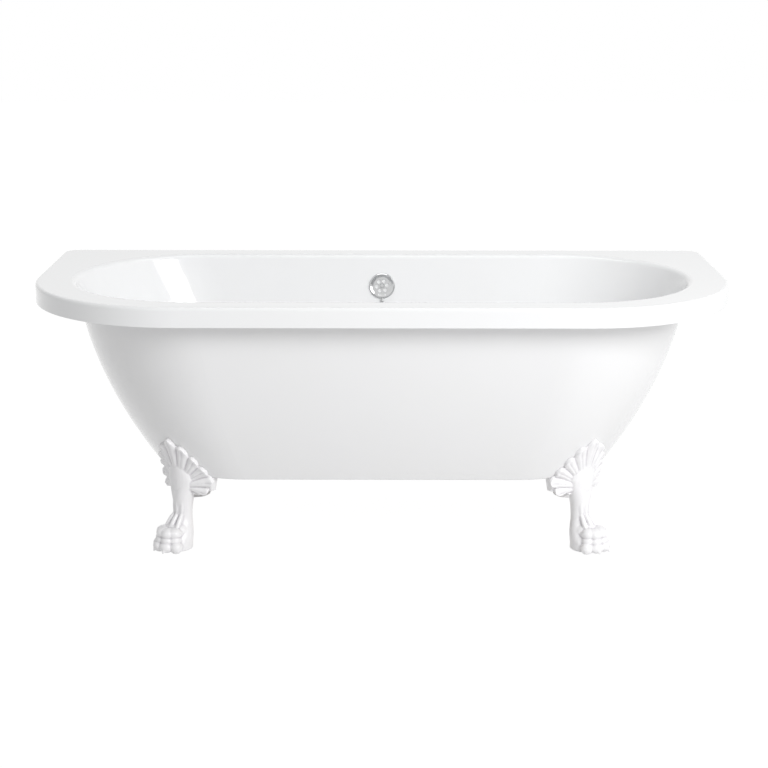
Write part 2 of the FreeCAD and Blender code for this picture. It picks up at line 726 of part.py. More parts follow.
def at_foot(thing):
    """Place a form made round a foot's own origin at the front right foot."""
    x, y = foot_point(1, -1, "0")
    put(thing, x, y, "0", UP, "foot_angle")


def make_leg():
    """Knee, shin and the pad of the paw as one loft."""
    leg = new_body("leg_form", keep=False)
    sections = []
    for i, (height, forward, across, deep) in enumerate(LEG):
        sketch = new_sketch(leg, "leg_%d" % i, height=height, shift="-(%s)" % forward)
        add_stadium(sketch, across, deep)
        sections.append(sketch)
    doc.recompute()
    loft(leg, sections)
    return leg


def make_lug():
    """The flat lug under the skin, and the bolt holes through it."""
    lug = new_body("lug_form", keep=False)
    plan = new_sketch(lug, "lug_plan", height=SKIN_LOW + " - lug_thick")
    add_rectangle(plan, "-lug_half", "lug_half", "-10", "lug_inner")
    pad(lug, plan, "lug_thick")
    return lug


def ball(name, radius, angle, reach, height):
    """A round of a toe, on its own line out of the paw's middle."""
    made = doc.addObject("Part::Sphere", name)
    bind(made, "Radius", radius)
    x = "(%s) * sin(%s)" % (reach, angle)
    y = "-(paw_reach + (%s) * cos(%s))" % (reach, angle)
    put(made, x, y, height)
    return made


def make_toe(index, share):
    """One toe: a round tip, a straight run back into the paw, and a knuckle above it."""
    angle = "(toe_fan * %g)" % share
    tip = ball("toe_tip_%d" % index, "toe_half", angle, "toe_reach + toe_length", "toe_half")
    knuckle = ball(
        "knuckle_%d" % index, "toe_half - 1", angle, "knuckle_reach", "knuckle_height"
    )
    run = doc.addObject("Part::Cylinder", "toe_run_%d" % index)
    bind(run, "Radius", "toe_half")
    bind(run, "Height", "toe_length")
    run.Placement = Placement(
        Vector(), Rotation(UP, value(angle)) * Rotation(Vector(1, 0, 0), 90)
    )
    bind(run, "Placement.Base.x", "toe_reach * sin(%s)" % angle)
    bind(run, "Placement.Base.y", "-(paw_reach + toe_reach * cos(%s))" % angle)
    bind(run, "Placement.Base.z", "toe_half")
    return [tip, run, knuckle]


def make_claw_feet():
    """Each foot is one casting: lug, knee, leaf, shin and a paw of four toes."""
    pieces = [make_leg(), make_lug()]
    for i, share in enumerate(TOES):
        pieces += make_toe(i, share)
    casting = doc.addObject("Part::MultiFuse", "foot_casting")
    casting.Shapes = pieces
    at_foot(casting)

    leaves = []
    for name, share, thick in (
        ("leaf", 1.0, "leaf_thick"), ("leaf_middle", 0.72, "leaf_thick + leaf_core")
    ):
        prism = new_body(name + "_prism", keep=False)
        outline = new_sketch(prism, name + "_outline", "XZ_Plane", height="-30")
        leaf_outline(outline, share)
        pad(prism, outline, "110")
        at_foot(prism)
        form = new_body(name + "_form", keep=False)
        skin_loft(form, name + "_section", 0.6, 1.16, 3, " + " + thick)
        both = doc.addObject("Part::Common", name)
        both.Base = prism
        both.Tool = form
        leaves.append(both)

    whole = doc.addObject("Part::MultiFuse", "foot_whole")
    whole.Shapes = [casting] + leaves

    body_form = new_body("skin_form", keep=False)
    skin_loft(body_form, "skin_form_section", 0.5, 1, 3, " + foot_gap")

    cuts = new_body("foot_cuts", keep=False)
    slab = new_sketch(cuts, "foot_slab", height="paw_lift")
    add_rectangle(slab, "-200", "200", "-200", "200")
    pad(cuts, slab, "20", down=True)
    at_foot(cuts)

    pad_pocket = doc.addObject("Part::Cylinder", "pad_pocket")
    bind(pad_pocket, "Radius", "pad_radius + pad_play")
    bind(pad_pocket, "Height", "pad_height + collar_height + pad_play + 5")
    put(pad_pocket, "0", "-pad_centre", "-5")
    stud_hole = doc.addObject("Part::Cylinder", "stud_hole")
    bind(stud_hole, "Radius", "stud_radius + stud_play")
    bind(stud_hole, "Height", "pad_height + collar_height + stud_length + pad_play + 2")
    put(stud_hole, "0", "-pad_centre", "0")
    drills = [pad_pocket, stud_hole]
    for i, side in enumerate((1, -1)):
        drill = doc.addObject("Part::Cylinder", "bolt_hole_%d" % i)
        bind(drill, "Radius", "bolt_radius + bolt_play")
        bind(drill, "Height", "2 * lug_thick")
        put(drill, "%d * bolt_spread" % side, "bolt_inset", SKIN_LOW + " - 1.5 * lug_thick")
        drills.append(drill)
    drilled = doc.addObject("Part::MultiFuse", "foot_drills")
    drilled.Shapes = drills
    at_foot(drilled)

    trimmed = whole
    for name, tool in (("a", body_form), ("b", cuts), ("c", drilled)):
        cut = doc.addObject("Part::Cut", "foot_trim_" + name)
        cut.Base = trimmed
        cut.Tool = tool
        trimmed = cut
    doc.recompute()
    foot = trimmed
    foot.Label = "claw_foot_front_right"
    parts.append(foot)
    mirrored = {}
    for label, source, normal in (
        ("claw_foot_front_left", foot, Vector(1, 0, 0)),
        ("claw_foot_back_right", foot, Vector(0, 1, 0)),
        ("claw_foot_back_left", None, Vector(0, 1, 0)),
    ):
        made = doc.addObject("Part::Mirroring", label)
        made.Label = label
        made.Source = source or mirrored["claw_foot_front_left"]
        made.Normal = normal
        mirrored[label] = made
        parts.append(made)
    doc.recompute()


def hexagon(sketch, radius):
    """Six corners round the sketch's origin."""
    add_polygon(sketch, [
        ("(%s) * %.6f" % (radius, math.cos(math.radians(60 * i))),
         "(%s) * %.6f" % (radius, math.sin(math.radians(60 * i))))
        for i in range(6)
    ])


def make_foot_bolts():
    """Bolts and washers under each lug, screwed up through the skin into the bars' nuts."""
    bolts, washers = [], []
    lug_low = "(%s - lug_thick)" % SKIN_LOW
    for i, (x, y) in enumerate(bolt_places()):
        bolt = new_body("foot_bolt_%d" % i, keep=False)
        head = new_sketch(bolt, "bolt_head_%d" % i)
        hexagon(head, "bolt_head")
        pad(bolt, head, "bolt_head_height", down=True)
        shank = new_sketch(bolt, "bolt_shank_%d" % i)
        add_circle(shank, "bolt_radius")
        pad(bolt, shank, "washer_thick + lug_thick + skin_wall + bar_wall + nut_height + 2")
        put(bolt, x, y, "%s - washer_thick" % lug_low)
        bolts.append(bolt)
        washer = new_body("foot_washer_%d" % i, keep=False)
        ring = new_sketch(washer, "washer_ring_%d" % i)
        add_circle(ring, "washer_radius")
        add_circle(ring, "bolt_radius + bolt_play")
        pad(washer, ring, "washer_thick", down=True)
        put(washer, x, y, lug_low)
        washers.append(washer)
    group_of("foot_bolts", bolts)
    group_of("foot_washers", washers)


def make_levelling_feet():
    """A rubber pad under a stud with a spanner collar, up inside each paw."""
    for corner, (sx, sy) in CORNERS.items():
        x, y = foot_point(sx, sy, "-pad_centre")
        rubber = new_body("levelling_pad_" + corner)
        side = new_sketch(rubber, "pad_profile_" + corner, "XZ_Plane")
        add_polygon(side, [
            ("0", "0"), ("pad_radius - 1", "0"), ("pad_radius", "1"),
            ("pad_radius - 2", "pad_height"), ("0", "pad_height"),
        ])
        revolve(rubber, side)
        put(rubber, x, y)
        stud = new_body("levelling_stud_" + corner)
        collar = new_sketch(stud, "collar_" + corner)
        hexagon(collar, "collar_radius")
        pad(stud, collar, "collar_height")
        shank = new_sketch(stud, "stud_" + corner)
        add_circle(shank, "stud_radius")
        pad(stud, shank, "collar_height + stud_length")
        put(stud, x, y, "pad_height")


# ---------------------------------------------------------------- overflow

SPIGOT_BACK = "(tub_wall + hose_radius + hose_gap)"
SEAL_BACK = "(tub_wall + seal_thick)"
ELBOW_BACK = "(tub_wall + seal_thick + elbow_depth)"


def at_overflow(thing):
    """Place a fitting made round its own axis at the hole in the back wall."""
    put(thing, "0", OVERFLOW_Y, OVERFLOW_Z, Vector(1, 0, 0), OVERFLOW_TURN)


def make_overflow_rose():
    """The chromed cover: a raised ring round a sunk grid of six holes, a fin for the chain."""
    rose = new_body("overflow_rose")
    turned = new_sketch(rose, "rose_profile", "XZ_Plane")
    skirt = "overflow_hole - 0.5"
    add_polygon(turned, [
        ("0", "seat_gap"), (skirt + " - 1.5", "seat_gap"),
        (skirt + " - 1.5", "-tub_wall"), (skirt, "-tub_wall"),
        (skirt, "seat_gap"), ("rose_radius", "seat_gap"),
        ("rose_radius", "seat_gap + 1.6"), ("rose_radius - 1.6", "rose_height - 1.4"),
        ("rose_radius - rose_ring / 2", "rose_height"),
        ("rose_radius - rose_ring", "rose_height - 1.4"),
        ("rose_well", "seat_gap + grid_thick"), ("0", "seat_gap + grid_thick"),
    ])
    revolve(rose, turned)
    fin = new_sketch(rose, "stay_fin", "YZ_Plane", height="-1.1")
    add_polygon(fin, [
        ("-(rose_radius - 2)", "seat_gap"), ("-(stay_reach + stay_radius)", "seat_gap"),
        ("-(stay_reach + stay_radius)", "rose_height"),
        ("-stay_reach", "rose_height + 2"), ("-(rose_radius - 2)", "rose_height - 2"),
    ])
    pad(rose, fin, "2.2")
    eye = new_sketch(rose, "stay_eye", "YZ_Plane", height="-5")
    add_circle(eye, "eye_radius", "-stay_reach", "rose_height - 2.5")
    pocket(rose, eye, "10", up=True)
    grid = new_sketch(rose, "grid_holes", height="seat_gap + grid_thick")
    for i in range(6):
        turn = 60 * i + 7
        add_circle(grid, "grid_hole", "grid_circle * %.6f" % math.cos(math.radians(turn)),
                   "grid_circle * %.6f" % math.sin(math.radians(turn)))
    add_circle(grid, "2.7")
    pocket(rose, grid, "grid_thick + 1")
    at_overflow(rose)

    screw = new_body("overflow_screw")
    turned = new_sketch(screw, "overflow_screw_profile", "XZ_Plane")
    top = "seat_gap + grid_thick"
    add_polygon(turned, [
        ("0", "8 - " + ELBOW_BACK), ("2.5", "8 - " + ELBOW_BACK), ("2.5", top),
        ("6.2", top), ("6.2", top + " + 1"), ("4.6", top + " + 2.6"), ("0", top + " + 2.6"),
    ])
    revolve(screw, turned)
    slot = new_sketch(screw, "overflow_screw_slot", height=top + " + 2.6")
    add_rectangle(slot, "-7", "7", "-0.6", "0.6")
    pocket(screw, slot, "1")
    at_overflow(screw)


def make_torus(name, radius, wire):
    """A split ring, closed."""
    ring = doc.addObject("Part::Torus", name)
    ring.Label = name
    bind(ring, "Radius1", radius)
    bind(ring, "Radius2", wire)
    ring.Angle1, ring.Angle2, ring.Angle3 = -180, 180, 360
    parts.append(ring)
    return ring


def in_overflow(across, along, out):
    """A place in the overflow's frame as a place in the bath's."""
    lean = math.radians(value(OVERFLOW_LEAN))
    y = value(OVERFLOW_Y) + along * math.sin(lean) - out * math.cos(lean)
    z = value(OVERFLOW_Z) + along * math.cos(lean) + out * math.sin(lean)
    return Vector(across, y, z)


def make_stay_ring():
    """The ring through the fin, hanging flat along the wall."""
    ring = make_torus("stay_ring", "ring_radius", "ring_wire")
    reach = "(stay_reach + ring_radius)"
    out = "(rose_height - 2.5)"
    put(
        ring, "0",
        "%s - %s * sin(%s) - %s * cos(%s)" % (
            OVERFLOW_Y, reach, OVERFLOW_LEAN, out, OVERFLOW_LEAN),
        "%s - %s * cos(%s) + %s * sin(%s)" % (
            OVERFLOW_Z, reach, OVERFLOW_LEAN, out, OVERFLOW_LEAN),
        Vector(1, 0, 0), OVERFLOW_TURN,
    )


def make_overflow_elbow():
    """Behind the wall: a rubber seal, a shallow cup with a boss for the screw, a spigot."""
    seal = new_body("overflow_seal")
    ring = new_sketch(seal, "overflow_seal_ring", height="-" + SEAL_BACK)
    add_circle(ring, "elbow_radius - 0.5")
    add_circle(ring, "overflow_hole")
    pad(seal, ring, "seal_thick")
    at_overflow(seal)

    elbow = new_body("overflow_elbow")
    turned = new_sketch(elbow, "elbow_profile", "XZ_Plane")
    inside = "elbow_wall - " + ELBOW_BACK
    add_polygon(turned, [
        ("0", "-" + ELBOW_BACK), ("elbow_radius", "-" + ELBOW_BACK),
        ("elbow_radius", "-" + SEAL_BACK), ("elbow_radius - elbow_wall", "-" + SEAL_BACK),
        ("elbow_radius - elbow_wall", inside), ("5.5", inside), ("5.5", inside + " + 7"),
        ("2.7", inside + " + 7"), ("2.7", inside + " + 2"), ("0", inside + " + 2"),
    ])
    revolve(elbow, turned)
    spigot = new_sketch(elbow, "elbow_spigot", "XZ_Plane", height="elbow_radius - elbow_wall / 2")
    add_circle(spigot, "hose_radius - hose_wall", "0", "-" + SPIGOT_BACK)
    pad(elbow, spigot, "14")
    bore = new_sketch(elbow, "elbow_bore", "XZ_Plane", height="elbow_radius + 14")
    add_circle(bore, "hose_radius - 2 * hose_wall", "0", "-" + SPIGOT_BACK)
    pocket(elbow, bore, "18")
    at_overflow(elbow)


def make_route(points):
    """Straight runs joined by tangent arcs, each as large as its two runs allow."""
    edges, radii = [], []
    start = points[0]
    for before, corner, after in zip(points, points[1:], points[2:]):
        back = (before - corner).normalize()
        ahead = (after - corner).normalize()
        half = (math.pi - back.getAngle(ahead)) / 2
        shorter = min((before - corner).Length, (after - corner).Length)
        setback = 0.45 * shorter
        radius = setback / math.tan(half)
        radii.append(radius)
        enter = corner + back * setback
        leave = corner + ahead * setback
        inward = (back + ahead).normalize()
        middle = corner + inward * (radius / math.cos(half) - radius)
        edges.append(Part.LineSegment(start, enter).toShape())
        edges.append(Part.Arc(enter, middle, leave).toShape())
        start = leave
    edges.append(Part.LineSegment(start, points[-1]).toShape())
    return Part.Wire(edges), radii


def make_tube(name, points, radius, bore=0):
    """A tube along a route; its volume has to be its section times its length."""
    wire, radii = make_route(points)
    heading = points[1] - points[0]
    outer = Part.Wire(Part.makeCircle(radius, points[0], heading))
    shape = wire.makePipeShell([outer], True, False)
    if bore:
        inner = Part.Wire(Part.makeCircle(bore, points[0], heading))
        shape = shape.cut(wire.makePipeShell([inner], True, False))
    feature = doc.addObject("Part::Feature", name)
    feature.Label = name
    feature.Shape = shape
    parts.append(feature)
    expected = math.pi * (radius ** 2 - bore ** 2) * wire.Length
    print("%s: %.0f mm long, volume %.3f of its section times its length, least bend %.0f mm"
          % (name, wire.Length, shape.Volume / expected, min(radii)))
    return feature


INLET_Z = "(%s - seal_thick - inlet_drop)" % FLOOR_UNDER


def make_overflow_hose():
    """Down the outside of the tub, round under its floor and into the waste."""
    radius = value("hose_radius")
    first = in_overflow(0, -value("elbow_radius") - 1, -value(SPIGOT_BACK))
    along = in_overflow(0, -1, 0) - in_overflow(0, 0, 0)
    under = value(FLOOR_UNDER) - radius - 1
    corner = first + along * ((first.z - under) / -along.z)
    inlet = value(INLET_Z)
    last = Vector(0, value("body_radius") + 1, inlet)
    easing = Vector(0, last.y + 0.3 * (corner.y - last.y), inlet)
    hose = make_tube(
        "overflow_hose", [first, corner, easing, last], radius, radius - value("hose_wall")
    )
    return hose


# ---------------------------------------------------------------- waste and plug

def make_waste():
    """Chromed flange, rubber seal and plastic body, drawn together by one screw."""
    flange = new_body("waste_flange")
    turned = new_sketch(flange, "flange_profile", "XZ_Plane")
    top = "waste_lip - recess_depth"
    tail = "waste_hole - waste_play"
    add_polygon(turned, [
        ("plug_top + plug_gap", top),
        ("plug_top - plug_taper + plug_gap", top + " - plug_depth - 1"),
        ("plug_top - plug_taper + plug_gap", "-22"), (tail, "-22"),
        (tail, "-recess_depth"), ("waste_radius", "-recess_depth"),
        ("waste_radius", "-recess_depth + 1"), ("waste_radius - 4", top),
    ])
    revolve(flange, turned)
    reach = "(plug_top - plug_taper + plug_gap + 1)"
    for i, (wide, deep) in enumerate(((reach, "web_thick / 2"), ("web_thick / 2", reach))):
        web = new_sketch(flange, "flange_web_%d" % i, height="-22")
        add_rectangle(web, "-" + wide, wide, "-" + deep, deep)
        pad(flange, web, "web_thick")
    boss = new_sketch(flange, "flange_boss", height="-22")
    add_circle(boss, "6.5")
    pad(flange, boss, "web_thick")
    hole = new_sketch(flange, "flange_screw_hole", height="web_thick - 22")
    add_circle(hole, "3.3")
    pocket(flange, hole, "web_thick")
    put(flange, z=FLOOR_TOP)

    screw = new_body("waste_screw")
    turned = new_sketch(screw, "waste_screw_profile", "XZ_Plane")
    add_polygon(turned, [
        ("0", "-44"), ("3", "-44"), ("3", "web_thick - 22"), ("5.5", "web_thick - 22"),
        ("5.5", "web_thick - 21"), ("4", "web_thick - 19.5"), ("0", "web_thick - 19.5"),
    ])
    revolve(screw, turned)
    put(screw, z=FLOOR_TOP)

    seal = new_body("waste_seal")
    ring = new_sketch(seal, "waste_seal_ring", height="-seal_thick")
    add_circle(ring, "waste_radius - 2")
    add_circle(ring, "waste_hole")
    pad(seal, ring, "seal_thick")
    put(seal, z=FLOOR_UNDER)

    body = new_body("waste_body")
    turned = new_sketch(body, "waste_body_profile", "XZ_Plane")
    inner = "body_radius - 3"
    add_polygon(turned, [
        (inner, "0"), ("waste_radius - 1", "0"), ("waste_radius - 1", "-3"),
        ("body_radius", "-3"), ("body_radius", "-body_depth"),
        ("tail_radius", "-body_depth"), ("tail_radius", "-(body_depth + tail_length)"),
        ("tail_bore", "-(body_depth + tail_length)"), ("tail_bore", "4 - body_depth"),
        (inner, "4 - body_depth"),
    ])
    revolve(body, turned)
    web = new_sketch(body, "body_web", height="4 - body_depth")
    add_rectangle(web, "-(body_radius - 2)", "body_radius - 2", "-1.5", "1.5")
    pad(body, web, "5")
    boss = new_sketch(body, "body_boss", height="4 - body_depth")
    add_circle(boss, "6")
    pad(body, boss, "15")
    hole = new_sketch(body, "body_screw_hole", height="19 - body_depth")
    add_circle(hole, "3 + thread_play")
    pocket(body, hole, "19")
    inlet = new_sketch(body, "body_inlet", "XZ_Plane", height="-(body_radius + inlet_length)")
    add_circle(inlet, "hose_radius - hose_wall", "0", "-inlet_drop")
    pad(body, inlet, "inlet_length + 2")
    bore = new_sketch(body, "body_inlet_bore", "XZ_Plane", height="-(body_radius + inlet_length)")
    add_circle(bore, "hose_radius - 2 * hose_wall", "0", "-inlet_drop")
    pocket(body, bore, "inlet_length + 5", up=True)
    put(body, z=FLOOR_UNDER + " - seal_thick")

    nut = new_body("hose_nut")
    ring = new_sketch(nut, "hose_nut_ring", "XZ_Plane", height="-(body_radius + inlet_length)")
    hexagon(ring, "hose_radius + nut_ring")
    add_circle(ring, "hose_radius")
    pad(nut, ring, "inlet_length - 3")
    put(nut, z=INLET_Z)


EYE_HEIGHT = "(plug_lip_thick + cap_thick + 5.4)"


def make_plug():
    """A tapered rubber plug with a chromed cap, and a ring through the cap's eye."""
    seat = "(%s + waste_lip - recess_depth)" % FLOOR_TOP
    rubber = new_body("plug_rubber")
    turned = new_sketch(rubber, "plug_profile", "XZ_Plane")
    add_polygon(turned, [
        ("2.6", "-plug_depth"), ("plug_top - plug_taper", "-plug_depth"), ("plug_top", "0"),
        ("plug_lip", "0"), ("plug_lip - 0.8", "plug_lip_thick"), ("2.6", "plug_lip_thick"),
    ])
    revolve(rubber, turned)
    put(rubber, z=seat)

    cap = new_body("plug_cap")
    turned = new_sketch(cap, "cap_profile", "XZ_Plane")
    add_polygon(turned, [
        ("0", "2 - plug_depth"), ("2.5", "2 - plug_depth"), ("2.5", "plug_lip_thick"),
        ("cap_radius", "plug_lip_thick"), ("cap_radius", "plug_lip_thick + 0.6"),
        ("cap_radius - 2", "plug_lip_thick + cap_thick"),
        ("0", "plug_lip_thick + cap_thick + 0.6"),
    ])
    revolve(cap, turned)
    tab = new_sketch(cap, "cap_tab", "XZ_Plane", height="-1.2")
    add_polygon(tab, [
        ("-4.5", "plug_lip_thick + cap_thick"), ("4.5", "plug_lip_thick + cap_thick"),
        ("3.2", EYE_HEIGHT + " + 3.4"), ("-3.2", EYE_HEIGHT + " + 3.4"),
    ])
    pad(cap, tab, "2.4")
    eye = new_sketch(cap, "cap_eye", "XZ_Plane", height="5")
    add_circle(eye, "eye_radius", "0", EYE_HEIGHT)
    pocket(cap, eye, "10")
    put(cap, z=seat)

    ring = make_torus("plug_ring", "ring_radius", "ring_wire")
    put(
        ring, "ring_radius * cos(ring_lift)", "0",
        "%s + %s + ring_radius * sin(ring_lift)" % (seat, EYE_HEIGHT),
        Vector(0, -1, 0), "ring_lift",
    )


# The chain's way, chosen by hand: down the sloping back, round its foot, over the floor.
CHAIN_ROUTE = [
    (0, 264.2, 503.4),
    (1.5, 255, 458),
    (-1.5, 242.6, 406),
    (1.5, 231, 357),
    (-1, 219.8, 309),
    (0, 209.6, 264.5),
    (2, 192.1, 239.2),
    (6, 166, 226.6),
    (16, 139, 226.6),
    (32, 112, 226.6),
    (40, 82, 226.6),
    (42, 58, 226.6),
    (39, 36, 226.9),
    (33, 20, 229.8),
    (24.5, 8.5, 233.6),
    (14.4, 0.7, 235),
]


def make_plug_chain():
    """The links' outer size as a plain tube, from the stay's ring to the plug's."""
    make_tube("plug_chain", [Vector(*p) for p in CHAIN_ROUTE], value("chain_radius"))


def check_and_export():
    """Nothing is written unless every object is sound."""
    doc.recompute()
    for thing in doc.Objects:
        bad = {"Invalid", "Error"} & set(thing.State)
        if bad:
            raise RuntimeError("%s is %s" % (thing.Label, ", ".join(bad)))
    for part in parts:
        shape = part.Shape
        if shape.isNull() or not shape.isValid():
            raise RuntimeError("%s has no sound shape" % part.Label)
    os.makedirs("parts", exist_ok=True)
    for part in parts:
        part.Shape.exportStep(os.path.join("parts", part.Label + ".step"))
        print("%-26s %2d solid(s) %12.0f mm3" % (
            part.Label, len(part.Shape.Solids), part.Shape.Volume))


make_inner_tub()
make_outer_skin()
make_battens()
make_base_board()
make_cross_bars()
make_bar_screws()
make_claw_feet()
make_foot_bolts()
make_levelling_feet()
make_overflow_rose()
make_stay_ring()
make_overflow_elbow()
make_overflow_hose()
make_waste()
make_plug()
make_plug_chain()
check_and_export()
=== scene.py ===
# %% [markdown]
# # A back-to-wall bath on claw feet
# The bath is 1700 mm long: a moulded acrylic tub inside a smooth acrylic skin, on four cast feet.
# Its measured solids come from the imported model, and this file gives them their looks.
# Everything is in metres: +X runs along the bath, +Y points at the wall behind it, and +Z is up.

# %% Load the measured model
import math

import bmesh
import bpy
from mathutils import Matrix, Vector
from mathutils.bvhtree import BVHTree
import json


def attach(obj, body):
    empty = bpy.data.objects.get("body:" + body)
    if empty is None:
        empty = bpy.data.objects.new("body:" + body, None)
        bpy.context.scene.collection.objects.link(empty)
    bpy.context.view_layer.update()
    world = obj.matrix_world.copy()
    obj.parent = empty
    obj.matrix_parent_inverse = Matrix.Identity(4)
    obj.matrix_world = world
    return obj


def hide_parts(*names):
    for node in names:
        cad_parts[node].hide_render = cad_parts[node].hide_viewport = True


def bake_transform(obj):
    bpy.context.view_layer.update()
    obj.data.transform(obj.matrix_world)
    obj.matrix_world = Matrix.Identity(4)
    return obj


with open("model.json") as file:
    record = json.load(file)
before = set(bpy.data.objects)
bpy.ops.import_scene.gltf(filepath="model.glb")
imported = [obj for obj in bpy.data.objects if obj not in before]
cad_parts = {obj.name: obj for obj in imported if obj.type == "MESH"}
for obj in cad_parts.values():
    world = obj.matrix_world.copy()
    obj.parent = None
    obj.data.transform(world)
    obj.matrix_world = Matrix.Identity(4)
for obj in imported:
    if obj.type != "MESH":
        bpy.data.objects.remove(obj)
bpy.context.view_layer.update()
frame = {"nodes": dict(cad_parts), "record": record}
nodes = frame["nodes"]
MM = 0.001
CORNERS = {"front_right": (1, 1), "front_left": (-1, 1), "back_right": (1, -1), "back_left": (-1, -1)}

# %% [markdown]
# ## The camera
# A catalogue view looks straight at the long side from standing height, with a long lens that keeps
# the rim's curve calm. The picture's focal length comes from how fast the rim narrows towards the back.

# %% Place the camera
IMAGE_SIDE = 768
FOCAL_PIXELS = 1643.1
SENSOR_WIDTH = 36.0
CAMERA_PLACE = (0.0055, -3.9966, 1.4133)
# Degrees below level, and degrees of lean.
CAMERA_DOWN = 14.763
CAMERA_ROLL = 0.09

camera_data = bpy.data.cameras.new("camera")
camera_data.sensor_width = SENSOR_WIDTH
camera_data.lens = FOCAL_PIXELS / IMAGE_SIDE * SENSOR_WIDTH
camera_data.clip_start = 0.05
camera = bpy.data.objects.new("camera", camera_data)
pitch = Matrix.Rotation(math.radians(90 - CAMERA_DOWN), 4, "X")
roll = Matrix.Rotation(math.radians(CAMERA_ROLL), 4, "Z")
camera.matrix_world = Matrix.Translation(CAMERA_PLACE) @ (pitch @ roll)
bpy.context.scene.collection.objects.link(camera)
bpy.context.scene.camera = camera
print(f"lens {camera_data.lens:.1f} mm on a {SENSOR_WIDTH:.0f} mm sensor")

# %% [markdown]
# ## Helpers for materials
# A material is a small tree of nodes. Each helper here takes over one step of building a tree: starting a
# group or a material, adding a node, placing a shared group, and turning a mask into colours or values.
# What several materials share, such as slow clouding of a colour, is a node group with its own inputs
# and outputs, so it is built once and each material sets its own values.

# %% Node helpers
def new_group(name, inputs, outputs):
    """Start a node group with named sockets, and return the group and its two end nodes."""
    group = bpy.data.node_groups.new(name, "ShaderNodeTree")
    for title, kind, value in inputs:
        socket = group.interface.new_socket(title, in_out="INPUT", socket_type=kind)
        socket.default_value = value
    for title, kind in outputs:
        group.interface.new_socket(title, in_out="OUTPUT", socket_type=kind)
    return group, group.nodes.new("NodeGroupInput"), group.nodes.new("NodeGroupOutput")


def add_node(tree, kind, **settings):
    """Add a node to a tree. A setting is a property's name, or a socket's name with a plain value."""
    node = tree.nodes.new(kind)
    for key, value in settings.items():
        name = key.replace("_", " ").title()
        if name in node.inputs:
            node.inputs[name].default_value = value
        else:
            setattr(node, key, value)
    return node


def new_material(name, color, roughness, metallic=0.0):
    """Start a material, and return it with its tree and its Principled shader."""
    material = bpy.data.materials.new(name)
    material.use_nodes = True
    material.diffuse_color = (*color, 1.0)
    tree = material.node_tree
    shader = tree.nodes["Principled BSDF"]
    shader.inputs["Base Color"].default_value = (*color, 1.0)
    shader.inputs["Roughness"].default_value = roughness
    shader.inputs["Metallic"].default_value = metallic
    return material, tree, shader


def place_group(tree, group, **values):
    """Put a shared group in a material, on the piece's own coordinates, with its own values."""
    node = tree.nodes.new("ShaderNodeGroup")
    node.node_tree = group
    for key, value in values.items():
        node.inputs[key.replace("_", " ")].default_value = value
    return node


def mix_colors(tree, mask, first, second):
    """Blend from the first colour to the second where the mask rises from 0 to 1."""
    mix = tree.nodes.new("ShaderNodeMix")
    mix.data_type = "RGBA"
    for socket, color in ((mix.inputs[6], first), (mix.inputs[7], second)):
        if isinstance(color, bpy.types.NodeSocket):
            tree.links.new(color, socket)
        else:
            socket.default_value = (*color, 1.0)
    tree.links.new(mask, mix.inputs[0])
    return mix.outputs[2]


def mix_values(tree, mask, low, high):
    """Turn a mask from 0 to 1 into a value from low to high."""
    span = tree.nodes.new("ShaderNodeMapRange")
    span.inputs["To Min"].default_value = low
    span.inputs["To Max"].default_value = high
    tree.links.new(mask, span.inputs["Value"])
    return span.outputs["Result"]


print("helpers to start groups and materials, add nodes and mix by a mask")

# %% [markdown]
# ## Shared effects
# *Clouding* is a slow change over the surface, as uneven gloss has. *Relief* is a fine bump, such as
# the orange peel of sprayed paint. *Scuffs* are long thin marks, as cleaning leaves on metal.

# %% Clouding, relief and scuffs
def make_clouding():
    """A slow change over the surface, as a mask around a half."""
    group, start, end = new_group(
        "clouding", [("Scale", "NodeSocketFloat", 8.0), ("Contrast", "NodeSocketFloat", 1.0)],
        [("Mask", "NodeSocketFloat")])
    place = add_node(group, "ShaderNodeTexCoord")
    noise = add_node(group, "ShaderNodeTexNoise", detail=4.0, roughness=0.55)
    spread = add_node(group, "ShaderNodeMath", operation="SUBTRACT")
    spread.inputs[1].default_value = 0.5
    boost = add_node(group, "ShaderNodeMath", operation="MULTIPLY_ADD", use_clamp=True)
    boost.inputs[2].default_value = 0.5
    group.links.new(place.outputs["Object"], noise.inputs["Vector"])
    group.links.new(start.outputs["Scale"], noise.inputs["Scale"])
    group.links.new(noise.outputs["Fac"], spread.inputs[0])
    group.links.new(spread.outputs[0], boost.inputs[0])
    group.links.new(start.outputs["Contrast"], boost.inputs[1])
    group.links.new(boost.outputs[0], end.inputs["Mask"])
    return group


def make_relief():
    """A fine bump, as a normal."""
    group, start, end = new_group(
        "relief", [("Scale", "NodeSocketFloat", 300.0), ("Depth", "NodeSocketFloat", 0.0001)],
        [("Normal", "NodeSocketVector")])
    place = add_node(group, "ShaderNodeTexCoord")
    noise = add_node(group, "ShaderNodeTexNoise", detail=3.0)
    bump = add_node(group, "ShaderNodeBump", strength=1.0)
    group.links.new(place.outputs["Object"], noise.inputs["Vector"])
    group.links.new(start.outputs["Scale"], noise.inputs["Scale"])
    group.links.new(noise.outputs["Fac"], bump.inputs["Height"])
    group.links.new(start.outputs["Depth"], bump.inputs["Distance"])
    group.links.new(bump.outputs["Normal"], end.inputs["Normal"])
    return group


